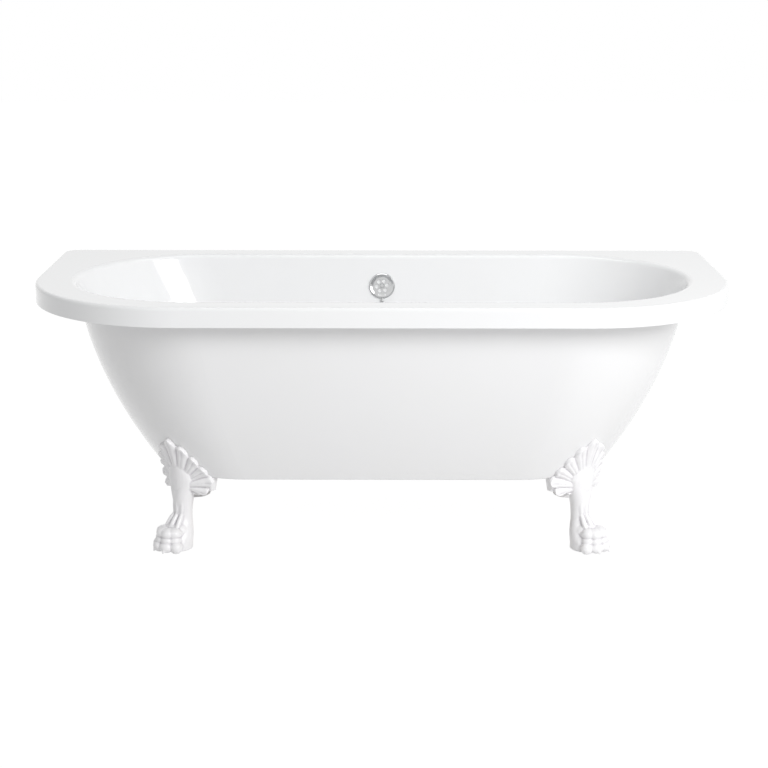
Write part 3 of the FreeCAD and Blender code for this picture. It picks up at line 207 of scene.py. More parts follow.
def make_scuffs():
    """Long thin marks, as a mask that is 0 between them."""
    group, start, end = new_group(
        "scuffs", [("Scale", "NodeSocketFloat", 60.0), ("Amount", "NodeSocketFloat", 0.5)],
        [("Mask", "NodeSocketFloat")])
    place = add_node(group, "ShaderNodeTexCoord")
    turn = add_node(group, "ShaderNodeMapping")
    turn.inputs["Rotation"].default_value = (0.3, 0.2, 0.5)
    turn.inputs["Scale"].default_value = (1.0, 12.0, 1.0)
    noise = add_node(group, "ShaderNodeTexNoise", detail=2.0)
    ramp = add_node(group, "ShaderNodeMapRange")
    ramp.inputs["From Min"].default_value = 0.6
    ramp.inputs["From Max"].default_value = 0.75
    group.links.new(place.outputs["Object"], turn.inputs["Vector"])
    group.links.new(turn.outputs["Vector"], noise.inputs["Vector"])
    group.links.new(start.outputs["Scale"], noise.inputs["Scale"])
    group.links.new(noise.outputs["Fac"], ramp.inputs["Value"])
    group.links.new(start.outputs["Amount"], ramp.inputs["To Max"])
    group.links.new(ramp.outputs["Result"], end.inputs["Mask"])
    return group


CLOUDING = make_clouding()
RELIEF = make_relief()
SCUFFS = make_scuffs()
print("shared effects:", ", ".join(g.name for g in (CLOUDING, RELIEF, SCUFFS)))

# %% [markdown]
# ## Acrylic with a fibreglass back
# A bath like this is a sheet of white acrylic drawn over a mould, and glass fibre in resin is sprayed
# on its hidden side. The gloss is high and even, with a faint unevenness in what it mirrors. The back is
# matt, cream and rough with strands. Which side a point is on follows from its normal: the tub's hidden
# side looks down, and the skin's hidden side looks up.

# %% The strands of the sprayed back
# How far the normal tips to the hidden side before the back starts to show, and where it shows fully.
BACK_FROM, BACK_TO = 0.03, 0.08


def make_fibreglass():
    """The sprayed back: a mask of where it is, its cream colour, and the relief of its strands."""
    group, start, end = new_group(
        "fibreglass", [("Face Down", "NodeSocketFloat", 1.0)],
        [("Mask", "NodeSocketFloat"), ("Color", "NodeSocketColor"), ("Normal", "NodeSocketVector")])
    surface = add_node(group, "ShaderNodeNewGeometry")
    split = add_node(group, "ShaderNodeSeparateXYZ")
    turned = add_node(group, "ShaderNodeMath", operation="MULTIPLY")
    mask = add_node(group, "ShaderNodeMapRange")
    mask.inputs["From Min"].default_value = BACK_FROM
    mask.inputs["From Max"].default_value = BACK_TO
    place = add_node(group, "ShaderNodeTexCoord")
    strands = add_node(group, "ShaderNodeTexVoronoi", feature="DISTANCE_TO_EDGE", scale=160.0)
    clouds = add_node(group, "ShaderNodeTexNoise", scale=25.0, detail=5.0)
    cream = mix_colors(group, clouds.outputs["Fac"], (0.5, 0.46, 0.34), (0.68, 0.65, 0.53))
    sum_up = add_node(group, "ShaderNodeMath", operation="ADD")
    bump = add_node(group, "ShaderNodeBump", strength=1.0, distance=0.0012)
    height = add_node(group, "ShaderNodeMath", operation="MULTIPLY")
    group.links.new(surface.outputs["True Normal"], split.inputs[0])
    group.links.new(split.outputs["Z"], turned.inputs[0])
    group.links.new(start.outputs["Face Down"], turned.inputs[1])
    group.links.new(turned.outputs[0], mask.inputs["Value"])
    group.links.new(place.outputs["Object"], strands.inputs["Vector"])
    group.links.new(place.outputs["Object"], clouds.inputs["Vector"])
    group.links.new(strands.outputs["Distance"], sum_up.inputs[0])
    group.links.new(clouds.outputs["Fac"], sum_up.inputs[1])
    group.links.new(sum_up.outputs[0], height.inputs[0])
    group.links.new(mask.outputs["Result"], height.inputs[1])
    group.links.new(height.outputs[0], bump.inputs["Height"])
    group.links.new(mask.outputs["Result"], end.inputs["Mask"])
    group.links.new(cream, end.inputs["Color"])
    group.links.new(bump.outputs["Normal"], end.inputs["Normal"])
    return group


FIBREGLASS = make_fibreglass()
print("group for the hidden side:", FIBREGLASS.name)


# %% White acrylic
TUB_WHITE = (0.9, 0.905, 0.915)
SKIN_WHITE = (0.86, 0.86, 0.87)
ACRYLIC_IOR = 1.49
BACK_ROUGHNESS = 0.75


def acrylic(name, color, hidden_side, roughness):
    """Gloss acrylic; hidden_side is -1 where the sprayed back looks down, and 1 where it looks up."""
    material, tree, shader = new_material(name, color, roughness)
    shader.inputs["IOR"].default_value = ACRYLIC_IOR
    shader.inputs["Coat Roughness"].default_value = 0.04
    back = place_group(tree, FIBREGLASS, Face_Down=hidden_side)
    cloud = place_group(tree, CLOUDING, Scale=3.0, Contrast=1.6)
    wiped = place_group(tree, SCUFFS, Scale=9.0, Amount=0.5)
    warm = tuple(c * f for c, f in zip(color, (0.985, 0.985, 0.975)))
    white = mix_colors(tree, cloud.outputs["Mask"], color, warm)
    tree.links.new(mix_colors(tree, back.outputs["Mask"], white, back.outputs["Color"]),
                   shader.inputs["Base Color"])
    sheen = mix_values(tree, wiped.outputs["Mask"], roughness, roughness + 0.06)
    gloss = add_node(tree, "ShaderNodeMix")
    tree.links.new(back.outputs["Mask"], gloss.inputs[0])
    tree.links.new(sheen, gloss.inputs[2])
    gloss.inputs[3].default_value = BACK_ROUGHNESS
    tree.links.new(gloss.outputs[0], shader.inputs["Roughness"])
    tree.links.new(mix_values(tree, back.outputs["Mask"], 0.6, 0.0), shader.inputs["Coat Weight"])
    tree.links.new(back.outputs["Normal"], shader.inputs["Normal"])
    return material


tub_acrylic = acrylic("tub acrylic", TUB_WHITE, -1.0, 0.12)
skin_acrylic = acrylic("skin acrylic", SKIN_WHITE, 1.0, 0.2)
print("acrylic:", tub_acrylic.name, skin_acrylic.name)

# %% [markdown]
# ## Metals
# Chrome on a polished rose is smooth and bright, and only its fine cleaning marks scatter light. Zinc on
# bolts is duller, with a faint yellow and blue bloom. Galvanised tube shows large flat crystals.

# %% Chrome, zinc and galvanised steel
def chrome(name, roughness):
    """Bright plate with fine cleaning marks and a faint haze."""
    material, tree, shader = new_material(name, (0.58, 0.585, 0.59), roughness, 1.0)
    marks = place_group(tree, SCUFFS, Scale=140.0, Amount=0.8)
    haze = place_group(tree, CLOUDING, Scale=60.0, Contrast=1.5)
    tree.links.new(mix_values(tree, marks.outputs["Mask"], roughness, roughness + 0.12),
                   shader.inputs["Roughness"])
    tree.links.new(mix_colors(tree, haze.outputs["Mask"], (0.55, 0.556, 0.56), (0.62, 0.625, 0.63)),
                   shader.inputs["Base Color"])
    return material


def zinc_plate():
    """Dull plate with a yellow and blue bloom."""
    material, tree, shader = new_material("zinc plate", (0.62, 0.62, 0.6), 0.4, 1.0)
    bloom = place_group(tree, CLOUDING, Scale=180.0, Contrast=2.2)
    bumps = place_group(tree, RELIEF, Scale=900.0, Depth=0.00005)
    tree.links.new(mix_colors(tree, bloom.outputs["Mask"], (0.66, 0.62, 0.52), (0.58, 0.61, 0.66)),
                   shader.inputs["Base Color"])
    tree.links.new(mix_values(tree, bloom.outputs["Mask"], 0.32, 0.5), shader.inputs["Roughness"])
    tree.links.new(bumps.outputs["Normal"], shader.inputs["Normal"])
    return material


def galvanised():
    """Steel tube with large flat crystals, each with its own grey."""
    material, tree, shader = new_material("galvanised tube", (0.55, 0.56, 0.58), 0.45, 0.9)
    place = add_node(tree, "ShaderNodeTexCoord")
    crystals = add_node(tree, "ShaderNodeTexVoronoi", scale=90.0)
    grey = add_node(tree, "ShaderNodeSeparateColor")
    tree.links.new(place.outputs["Object"], crystals.inputs["Vector"])
    tree.links.new(crystals.outputs["Color"], grey.inputs[0])
    tree.links.new(mix_colors(tree, grey.outputs[0], (0.5, 0.51, 0.53), (0.64, 0.65, 0.67)),
                   shader.inputs["Base Color"])
    tree.links.new(mix_values(tree, grey.outputs[0], 0.35, 0.55), shader.inputs["Roughness"])
    return material


chrome_plate = chrome("chrome plate", 0.07)
chain_chrome = chrome("chain chrome", 0.12)
zinc = zinc_plate()
tube_steel = galvanised()
print("metals:", ", ".join(m.name for m in (chrome_plate, chain_chrome, zinc, tube_steel)))

# %% [markdown]
# ## Timber, board, rubber and plastic
# Sawn battens show stretched rings. The base board is chips pressed in resin, the seals and the plug are
# moulded rubber with a soft bloom, and the waste and its pipe are plain moulded plastic.

# %% Timber and board
def timber():
    """Softwood with rings stretched along the bath and fine pores."""
    material, tree, shader = new_material("planed softwood", (0.72, 0.58, 0.4), 0.6)
    place = add_node(tree, "ShaderNodeTexCoord")
    shift = add_node(tree, "ShaderNodeMapping")
    shift.inputs["Scale"].default_value = (1.0, 9.0, 9.0)
    warp = add_node(tree, "ShaderNodeTexNoise", scale=3.0, detail=3.0, distortion=0.6)
    rings = add_node(tree, "ShaderNodeTexWave", scale=6.0, distortion=4.0, detail=2.0)
    pores = add_node(tree, "ShaderNodeTexNoise", scale=220.0, detail=2.0)
    bump = add_node(tree, "ShaderNodeBump", strength=0.5, distance=0.0003)
    tree.links.new(place.outputs["Object"], shift.inputs["Vector"])
    tree.links.new(shift.outputs["Vector"], warp.inputs["Vector"])
    tree.links.new(shift.outputs["Vector"], pores.inputs["Vector"])
    tree.links.new(warp.outputs["Color"], rings.inputs["Vector"])
    tree.links.new(mix_colors(tree, rings.outputs["Fac"], (0.74, 0.6, 0.42), (0.58, 0.42, 0.25)),
                   shader.inputs["Base Color"])
    tree.links.new(mix_values(tree, rings.outputs["Fac"], 0.55, 0.72), shader.inputs["Roughness"])
    tree.links.new(pores.outputs["Fac"], bump.inputs["Height"])
    tree.links.new(bump.outputs["Normal"], shader.inputs["Normal"])
    return material


def chip_board():
    """Board of pressed chips, each with its own tone and sheen."""
    material, tree, shader = new_material("resin-sealed board", (0.6, 0.5, 0.34), 0.45)
    place = add_node(tree, "ShaderNodeTexCoord")
    chips = add_node(tree, "ShaderNodeTexVoronoi", scale=130.0)
    tone = add_node(tree, "ShaderNodeSeparateColor")
    bump = add_node(tree, "ShaderNodeBump", strength=0.6, distance=0.0005)
    tree.links.new(place.outputs["Object"], chips.inputs["Vector"])
    tree.links.new(chips.outputs["Color"], tone.inputs[0])
    tree.links.new(mix_colors(tree, tone.outputs[0], (0.66, 0.55, 0.38), (0.45, 0.34, 0.2)),
                   shader.inputs["Base Color"])
    tree.links.new(mix_values(tree, tone.outputs[1], 0.38, 0.6), shader.inputs["Roughness"])
    tree.links.new(chips.outputs["Distance"], bump.inputs["Height"])
    tree.links.new(bump.outputs["Normal"], shader.inputs["Normal"])
    return material


softwood = timber()
board = chip_board()
print("wood:", softwood.name, "and", board.name)


# %% Rubber and plastic
def moulded(name, dark, light, roughness, grain):
    """A moulded rubber or plastic: two close tones, an uneven sheen and a fine grain."""
    material, tree, shader = new_material(name, dark, roughness)
    bloom = place_group(tree, CLOUDING, Scale=45.0, Contrast=1.8)
    bumps = place_group(tree, RELIEF, Scale=grain, Depth=0.00008)
    tree.links.new(mix_colors(tree, bloom.outputs["Mask"], dark, light), shader.inputs["Base Color"])
    tree.links.new(mix_values(tree, bloom.outputs["Mask"], roughness - 0.08, roughness + 0.08),
                   shader.inputs["Roughness"])
    tree.links.new(bumps.outputs["Normal"], shader.inputs["Normal"])
    return material


seal_rubber = moulded("seal rubber", (0.035, 0.035, 0.038), (0.07, 0.07, 0.072), 0.6, 1200.0)
plug_rubber = moulded("plug rubber", (0.025, 0.025, 0.028), (0.055, 0.055, 0.058), 0.5, 900.0)
pad_rubber = moulded("pad rubber", (0.06, 0.06, 0.06), (0.11, 0.11, 0.108), 0.65, 700.0)
white_plastic = moulded("white plastic", (0.78, 0.78, 0.765), (0.84, 0.84, 0.83), 0.42, 800.0)
hose_plastic = moulded("hose plastic", (0.5, 0.51, 0.52), (0.6, 0.61, 0.62), 0.45, 700.0)
moulded_finishes = (seal_rubber, plug_rubber, pad_rubber, white_plastic, hose_plastic)
print("moulded:", ", ".join(finish.name for finish in moulded_finishes))

# %% [markdown]
# ## Enamel on a casting
# The feet are cast, then sprayed with a satin white enamel. The hollows of the carving get a darker
# colour as painted shade, which reads as a slightly darker line. A *hollow* value on each point of the
# foot's mesh, worked out further down from how far smoothing would lift the point, places that shade.

# %% Foot enamel
ENAMEL_WHITE = (0.93, 0.922, 0.935)
ENAMEL_CLOUD = (0.915, 0.91, 0.92)
# Painted shade: this darker colour goes into the hollows of the carving.
ENAMEL_PAINTED_SHADE = (0.72, 0.705, 0.73)


def foot_enamel():
    """Satin enamel with painted shade in the hollows of the carving."""
    material, tree, shader = new_material("foot enamel", ENAMEL_WHITE, 0.32)
    hollow = add_node(tree, "ShaderNodeAttribute", attribute_name="hollow")
    span = add_node(tree, "ShaderNodeMapRange")
    span.inputs["From Min"].default_value = 0.5
    span.inputs["From Max"].default_value = 0.9
    cloud = place_group(tree, CLOUDING, Scale=25.0, Contrast=1.4)
    peel = place_group(tree, RELIEF, Scale=420.0, Depth=0.00012)
    white = mix_colors(tree, cloud.outputs["Mask"], ENAMEL_WHITE, ENAMEL_CLOUD)
    tree.links.new(hollow.outputs["Fac"], span.inputs["Value"])
    # The hollow value mixes the painted shade into the enamel's white.
    tree.links.new(mix_colors(tree, span.outputs["Result"], white, ENAMEL_PAINTED_SHADE),
                   shader.inputs["Base Color"])
    tree.links.new(mix_values(tree, cloud.outputs["Mask"], 0.28, 0.4), shader.inputs["Roughness"])
    tree.links.new(peel.outputs["Normal"], shader.inputs["Normal"])
    return material


foot_paint = foot_enamel()
print("foot paint:", foot_paint.name)

# %% [markdown]
# ## Each measured node gets its material
# A node keeps its shape, and only its material slot is filled.

# %% Assign materials to the measured nodes
FINISHES = {
    "tub_acrylic": tub_acrylic, "skin_acrylic": skin_acrylic, "timber": softwood, "board": board,
    "steel": tube_steel, "zinc": zinc, "foot_paint": foot_paint, "chrome": chrome_plate,
    "chain": chain_chrome, "seal_rubber": seal_rubber, "plug_rubber": plug_rubber,
    "pad_rubber": pad_rubber, "white_plastic": white_plastic, "hose_plastic": hose_plastic,
}
node_slots = {part["node"]: part["material_slot"] for part in frame["record"]["subparts"]}


def dress(thing, slot_name):
    """Give an object the finish of one of the record's material slots."""
    thing.data.materials.clear()
    thing.data.materials.append(FINISHES[slot_name])


for node_name, node in nodes.items():
    dress(node, node_slots[node_name])
print("dressed", len(node_slots), "nodes in", len(set(node_slots.values())), "finishes")

# %% [markdown]
# ## The claw feet
# A real foot like this starts as clay: the modeller builds up a paw and a shin from balls, lays a leaf
# over the knee, blends them with a thumb, and it is then cast. The same order works here. The forms are
# pressed onto a copy of the measured foot, a voxel remesh joins them into one skin, and a little
# smoothing is the thumb. One foot is modelled, and the other three are mirrored.

# %% The foot's own directions
# The front right foot turns its toes to the corner. The other three are mirrored from it.
FOOT_TURN = math.radians(40)
FOOT_PLACE = Vector((0.47806, -0.18002, 0.0))
foot_frame = Matrix.Translation(FOOT_PLACE) @ Matrix.Rotation(FOOT_TURN, 4, "Z")
ACROSS = foot_frame.to_3x3() @ Vector((1, 0, 0))
OUT = foot_frame.to_3x3() @ Vector((0, -1, 0))
UP = Vector((0, 0, 1))


def at_foot(across, out, up):
    """A point of the front right foot, from millimetres across, outwards and up."""
    return foot_frame @ Vector((across * MM, -out * MM, up * MM))


def surface_of(name):
    """A node's surface, ready to be asked what lies along a line."""
    mesh = bmesh.new()
    mesh.from_mesh(nodes[name].data)
    tree = BVHTree.FromBMesh(mesh)
    mesh.free()
    return tree


# In mm: the height of the skin's lower edge, and a distance from which a ray starts clear of the skin.
SKIN_EDGE_UP = 188
RAY_START = 300
skin_surface = surface_of("outer_skin")


def on_skin(across, up, proud):
    """The point in front of the skin at (across, up), moved out by proud, and the skin's normal.

    Below the skin's edge the last direction is carried straight down."""
    start = at_foot(across, RAY_START, max(up, SKIN_EDGE_UP))
    place, normal, _, _ = skin_surface.ray_cast(start, -OUT)
    return place + normal * proud * MM + UP * min(0, up - SKIN_EDGE_UP) * MM, normal


print(f"foot at {FOOT_PLACE.x:.3f}, {FOOT_PLACE.y:.3f} m, turned {math.degrees(FOOT_TURN):.0f} degrees")


# %% Balls of clay
def unit_ball():
    """A ball of radius 1 m, kept as a mesh so that pressing one is quick."""
    ball = bmesh.new()
    bmesh.ops.create_uvsphere(ball, u_segments=28, v_segments=18, radius=1.0)
    mesh = bpy.data.meshes.new("ball")
    ball.to_mesh(mesh)
    ball.free()
    return mesh


BALL = unit_ball()


def press_ball(clay, centre, radii, along=ACROSS, face=UP):
    """Add a ball stretched to three radii in mm: along a direction, across it, and towards face."""
    along = along.normalized()
    side = face.cross(along).normalized()
    axes = Matrix((along, side, along.cross(side))).transposed().to_4x4()
    size = Matrix.Diagonal((*[r * MM for r in radii], 1.0))
    ball = BALL.copy()
    ball.transform(Matrix.Translation(centre) @ axes @ size)
    clay.from_mesh(ball)
    bpy.data.meshes.remove(ball)


print("a ball has", len(BALL.vertices), "points")


# %% [markdown]
# ## A paw and a shin from balls
# A paw is known by its toes, by a row of knuckles above them, and by its claws. Each of these is close to a
# stretched ball, so the paw is a short list of balls: five for its mass, and six along each toe, on lines
# that fan out from the middle. The shin is a stack of ovals, because its outline changes slowly upwards.

# %% The paw, in two tiers
TOE_ANGLES = (-54, -18, 18, 54)
PAW_MIDDLE = 46
TOE_PARTS = (
    # reach from the paw's middle, height, then half length, half width and half height
    (25, 47, 18.5, 17.5, 13.5),
    (29, 31, 17.0, 16.5, 12.0),
    (35, 16, 18.0, 18.0, 14.0),
)
CLAW_PARTS = ((48, 13, 4.8, 4.2, 4.6), (51, 9.5, 3.6, 3.4, 4.0), (52.3, 6.5, 2.4, 2.6, 3.2))
OUTER_TOE_SHRINK = 0.94
PAW_BALLS = (
    # out from the foot's middle and up, then half width, half depth and half height
    (40, 22, 42, 34, 24),
    (34, 44, 34, 32, 24),
    (15, 22, 25, 24, 30),
    (60, 17, 40, 29, 14.5),
    (54, 46, 36, 26, 12.5),
)


def from_paw(angle, reach, up):
    """A point on a toe's own line, which fans out from the middle of the paw."""
    turn = math.radians(angle)
    return at_foot(reach * math.sin(turn), PAW_MIDDLE + reach * math.cos(turn), up)


def press_paw(clay):
    """Knuckles above and toes below, with a soft groove between the tiers and a heel behind."""
    for out, up, *radii in PAW_BALLS:
        press_ball(clay, at_foot(0, out, up), radii)
    for angle in TOE_ANGLES:
        shrink = OUTER_TOE_SHRINK if abs(angle) == max(TOE_ANGLES) else 1.0
        ahead = from_paw(angle, 1, 0) - from_paw(angle, 0, 0)
        for reach, up, length, width, tall in TOE_PARTS + CLAW_PARTS:
            press_ball(clay, from_paw(angle, reach * shrink, up), (length * shrink, width, tall), ahead)


print(len(TOE_ANGLES), "toes of", len(TOE_PARTS + CLAW_PARTS), "balls, on a paw of", len(PAW_BALLS))


# %% The shin and the knee
SHIN = (
    # height, distance out, then half width and half depth
    (48, 24, 27, 26), (62, 17, 23.5, 23), (80, 13, 22.5, 21.5), (105, 10, 22.5, 21.5),
    (125, 9, 25, 23), (142, 9, 30, 25), (160, 9, 36, 27), (176, 9, 40, 28),
    (190, 10, 38, 27), (204, 14, 32, 23), (218, 21, 24, 16), (230, 28, 16, 9),
)
OVAL_SHARES = (0.0, 0.25, 0.5, 0.75)
OVAL_HALF_HEIGHT = 14
TENDON_POINTS = (
    # how far the outer two lie to a side, distance out, how far the outer two lie back, and height
    (19, 58, 4, 52), (12.5, 31.5, 3.5, 86), (13.5, 28.5, 4, 134),
)
TENDON_THICKNESS = (6.2, 4.8)
TENDON_HALF_SHARE = 0.62


def press_shin(clay):
    """Ovals stacked from the paw to the knee, with faint tendons that run down to the knuckles."""
    for (low, *start), (high, *end) in zip(SHIN, SHIN[1:]):
        for share in OVAL_SHARES:
            out, wide, deep = [a + (b - a) * share for a, b in zip(start, end)]
            place = at_foot(0, out, low + (high - low) * share)
            press_ball(clay, place, (wide, deep, OVAL_HALF_HEIGHT))
    for side in (-1, 0, 1):
        points = [at_foot(side * across, out - back * abs(side), up)
                  for across, out, back, up in TENDON_POINTS]
        for start, end, thick in zip(points, points[1:], TENDON_THICKNESS):
            run = end - start
            half = run.length / MM * TENDON_HALF_SHARE
            press_ball(clay, (start + end) / 2, (half, thick, thick), run, OUT)


print(len(SHIN), "heights give the shin its form, and 3 tendons run down it")


# %% [markdown]
# ## A leaf from one formula
# The leaf has thirteen lobes of different reach, each with a vein down its middle. One formula gives every
# point of it, so that all the lobes are carved alike: how far round the leaf the point lies, how far it is
# from root to edge, and from these two how far it stands out from the skin.

# %% The leaf over the knee
LEAF_ROOT = 172
LOBES = (
    # direction of each lobe's tip in degrees from straight up, and how far out it reaches
    (-134, 40), (-111, 74), (-87, 86), (-65, 80), (-43, 84), (-21, 97),
    (0, 112), (21, 97), (43, 84), (65, 80), (87, 86), (111, 74), (134, 40),
)
LEAF_STEPS = 12
LEAF_RINGS = 26
# In mm, how far each form stands out: the leaf itself, the knee under it, its lobes and their curled tips.
LEAF_THICKNESS, KNEE_PROUD, LOBE_PROUD, TIP_CURL = 4.5, 33, 5.0, 3.0
VEIN_DEPTH = 2.4
# As shares: a vein's width in its lobe, how deep the edge dips between lobes, and where the rings start.
VEIN_WIDTH, NOTCH_DEPTH, FIRST_RING = 0.1, 0.16, 0.04
# The shares from root to edge between which the lobes, the veins and the curl of the tips grow in.
LOBES_GROW, VEINS_GROW, CURL_GROWS = (0.3, 0.75), (0.35, 0.6), (0.8, 1.0)
# The leaf's back repeats its front at this share of its height, so that it lies behind the skin's face.
BACK_LIFT = -0.15


def smooth_step(low, high, value):
    """A soft rise from 0 at low to 1 at high."""
    share = min(1.0, max(0.0, (value - low) / (high - low)))
    return share * share * (3 - 2 * share)


def leaf_point(lobe, phase, share, lift):
    """A point of the leaf: phase runs from one lobe's middle to the next, share from root to edge."""
    (angle, reach), (next_angle, next_reach) = LOBES[lobe], LOBES[lobe + 1]
    turn = math.radians(angle + (next_angle - angle) * phase)
    crown = abs(math.cos(math.pi * phase))
    grown = smooth_step(*LOBES_GROW, share)
    edge = (reach + (next_reach - reach) * phase) * (1 - NOTCH_DEPTH + NOTCH_DEPTH * crown ** 0.6)
    off_middle = min(phase, 1 - phase)
    vein = math.exp(-(off_middle / VEIN_WIDTH) ** 2) * smooth_step(*VEINS_GROW, share)
    knee = KNEE_PROUD * (1 - share) ** 1.5
    curl = TIP_CURL * smooth_step(*CURL_GROWS, share) * crown
    proud = LEAF_THICKNESS + knee + LOBE_PROUD * crown ** 0.8 * grown + curl - VEIN_DEPTH * vein
    place = edge * share
    return on_skin(place * math.sin(turn), LEAF_ROOT + place * math.cos(turn), proud * lift)[0]


def press_leaf(clay):
    """The leaf as a closed shell: a carved front, a back against the skin and an edge between."""
    columns = [(lobe, step / LEAF_STEPS) for lobe in range(len(LOBES) - 1) for step in range(LEAF_STEPS)]
    columns.append((len(LOBES) - 2, 1.0))
    rings = [(FIRST_RING + (1 - FIRST_RING) * ring / LEAF_RINGS, 1.0) for ring in range(LEAF_RINGS + 1)]
    rings += [(share, BACK_LIFT) for share, _ in reversed(rings)]
    grid = [[clay.verts.new(leaf_point(lobe, phase, share, lift)) for share, lift in rings]
            for lobe, phase in columns]
    for left, right in zip(grid, grid[1:]):
        for index in range(len(rings)):
            after = (index + 1) % len(rings)
            clay.faces.new((left[index], left[after], right[after], right[index]))
    clay.faces.new(grid[0])
    clay.faces.new(list(reversed(grid[-1])))


print("a leaf of", len(LOBES), "lobes")

# %% [markdown]
# ## Joining the clay
# The balls, the leaf and the measured foot overlap as loose lumps. Joining that many by booleans, one by
# one, is slow and can fail where two faces just touch. A voxel remesh takes them all at once: it lays
# one new skin round whatever is solid. Its grain is the finest detail that survives, so it stays well
# under the width of a vein, and a few strokes of smoothing take its steps away.

# %% Join the clay into one skin
# In metres.
CLAY_GRAIN = 0.0015
MERGE_WITHIN = 1e-5
# In mm: what is left of the plain leaf, the point it is drawn in towards, and where its wings leave the leg.
FLAT_LEAF = 3.0
LEAF_MIDDLE_UP = 215
WING_ROOT = 34
WING_UP = 132
# The share of its size that the plain leaf keeps above the skin's edge.
DRAW_IN = 0.86
THUMB_STROKES = 5


def take_cad_foot(clay):
    """Start from the measured foot, with its plain leaf pressed flat so that the carved one covers it."""
    clay.from_mesh(nodes["claw_foot_front_right"].data)
    bmesh.ops.remove_doubles(clay, verts=clay.verts, dist=MERGE_WITHIN)
    middle = on_skin(0, LEAF_MIDDLE_UP, 0)[0]
    to_foot = foot_frame.inverted()
    for vert in clay.verts:
        if vert.co.z > SKIN_EDGE_UP * MM:
            vert.co = middle + (vert.co - middle) * DRAW_IN
        across, _, up = to_foot @ vert.co / MM
        if up > SKIN_EDGE_UP or (abs(across) > WING_ROOT and up > WING_UP):
            place, normal = on_skin(across, up, 0)
            proud = (vert.co - place).dot(normal)
            vert.co -= normal * max(0.0, proud - FLAT_LEAF * MM)


def model_foot():
    """The front right foot as one joined and smoothed mesh."""
    clay = bmesh.new()
    take_cad_foot(clay)
    press_paw(clay)
    press_shin(clay)
    press_leaf(clay)
    mesh = bpy.data.meshes.new("clay")
    clay.to_mesh(mesh)
    clay.free()
    lump = bpy.data.objects.new("clay", mesh)
    bpy.context.scene.collection.objects.link(lump)
    remesh = lump.modifiers.new("join", "REMESH")
    remesh.mode = "VOXEL"
    remesh.voxel_size = CLAY_GRAIN
    smooth = lump.modifiers.new("thumb", "SMOOTH")
    smooth.factor = 0.5
    smooth.iterations = THUMB_STROKES
    bpy.context.view_layer.update()
    finished = lump.evaluated_get(bpy.context.evaluated_depsgraph_get())
    joined = bpy.data.meshes.new_from_object(finished)
    bpy.data.objects.remove(lump)
    bpy.data.meshes.remove(mesh)
    return joined


foot_mesh = model_foot()
bpy.data.meshes.remove(BALL)
print("foot:", len(foot_mesh.polygons), "faces")

# %% [markdown]
# ## Fitting the casting
# A real casting is ground flat on its sole, drilled for its stud and filed until it sits against the
# bath. Here its points are moved instead of cut, which keeps the mesh closed: they rise off the floor,
# rise out of the pocket round the levelling pad, and step out of the skin. The same points then learn how
# deep they lie in the carving, from where a strong smoothing would take them.

# %% Trim the foot where it meets the skin and the floor
# In mm.
SKIN_CLEARANCE = 0.3
NEAR_SKIN_UP = 183
NEAR_SKIN = 30
SOLE_UP = 2.0
PAD_OUT = 36.0
POCKET_RADIUS, POCKET_TOP = 16.6, 13.6
STUD_RADIUS, STUD_TOP = 7.0, 49.8


def clear_neighbours(foot):
    """Move the points that would touch the skin, the floor or the levelling pad."""
    pad_axis = at_foot(0, PAD_OUT, 0)
    moved = 0
    for vert in foot.verts:
        if vert.co.z < SOLE_UP * MM:
            vert.co.z = SOLE_UP * MM
        from_axis = (vert.co - pad_axis).xy.length / MM
        if vert.co.z < POCKET_TOP * MM and from_axis < POCKET_RADIUS:
            vert.co.z = (STUD_TOP if from_axis < STUD_RADIUS else POCKET_TOP) * MM
        if vert.co.z > NEAR_SKIN_UP * MM:
            place, normal, _, _ = skin_surface.find_nearest(vert.co, NEAR_SKIN * MM)
            if place is not None:
                height = (vert.co - place).dot(normal)
                if height < SKIN_CLEARANCE * MM:
                    vert.co += normal * (SKIN_CLEARANCE * MM - height)
                    moved += 1
    print("trimmed", moved, "points at the skin")


# %% Mark the hollows
HOLLOW_STROKES = 14
# In mm, from the fall that marks 0 to the rise that marks 1.
HOLLOW_SPAN = 1.2


def mark_hollows(foot):
    """Write how far smoothing would lift each point, as a value from 0 on edges to 1 in hollows."""
    before = [vert.co.copy() for vert in foot.verts]
    hollow = foot.verts.layers.float.new("hollow")
    for _ in range(HOLLOW_STROKES):
        bmesh.ops.smooth_vert(
            foot, verts=foot.verts, factor=0.5, use_axis_x=True, use_axis_y=True, use_axis_z=True)
    foot.normal_update()
    rise = [(vert.co - place).dot(vert.normal) for vert, place in zip(foot.verts, before)]
    for vert, place, amount in zip(foot.verts, before, rise):
        vert.co = place
        vert[hollow] = min(1.0, max(0.0, 0.5 + amount / (HOLLOW_SPAN * MM)))


def fit_foot(mesh):
    """Trim the foot's mesh and mark its hollows."""
    foot = bmesh.new()
    foot.from_mesh(mesh)
    clear_neighbours(foot)
    mark_hollows(foot)
    bmesh.ops.recalc_face_normals(foot, faces=foot.faces)
    for face in foot.faces:
        face.smooth = True
    foot.to_mesh(mesh)
    foot.free()


fit_foot(foot_mesh)
print(len(foot_mesh.vertices), "points marked")


# %% Mirror the foot to the four corners
def mirror_foot(name, side, front):
    """A copy of the front right foot, mirrored along the bath, across it, or both."""
    foot = bmesh.new()
    foot.from_mesh(foot_mesh)
    bmesh.ops.scale(foot, vec=(side, front, 1), verts=foot.verts)
    if side * front < 0:
        bmesh.ops.reverse_faces(foot, faces=foot.faces)
    mesh = bpy.data.meshes.new("foot_" + name)
    foot.to_mesh(mesh)
    foot.free()
    made = bpy.data.objects.new("sculpted_foot_" + name, mesh)
    bpy.context.scene.collection.objects.link(made)
    dress(made, "foot_paint")
    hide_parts("claw_foot_" + name)
    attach(made, "bath")


for corner, (side, front) in CORNERS.items():
    mirror_foot(corner, side, front)
print(len(CORNERS), "feet")
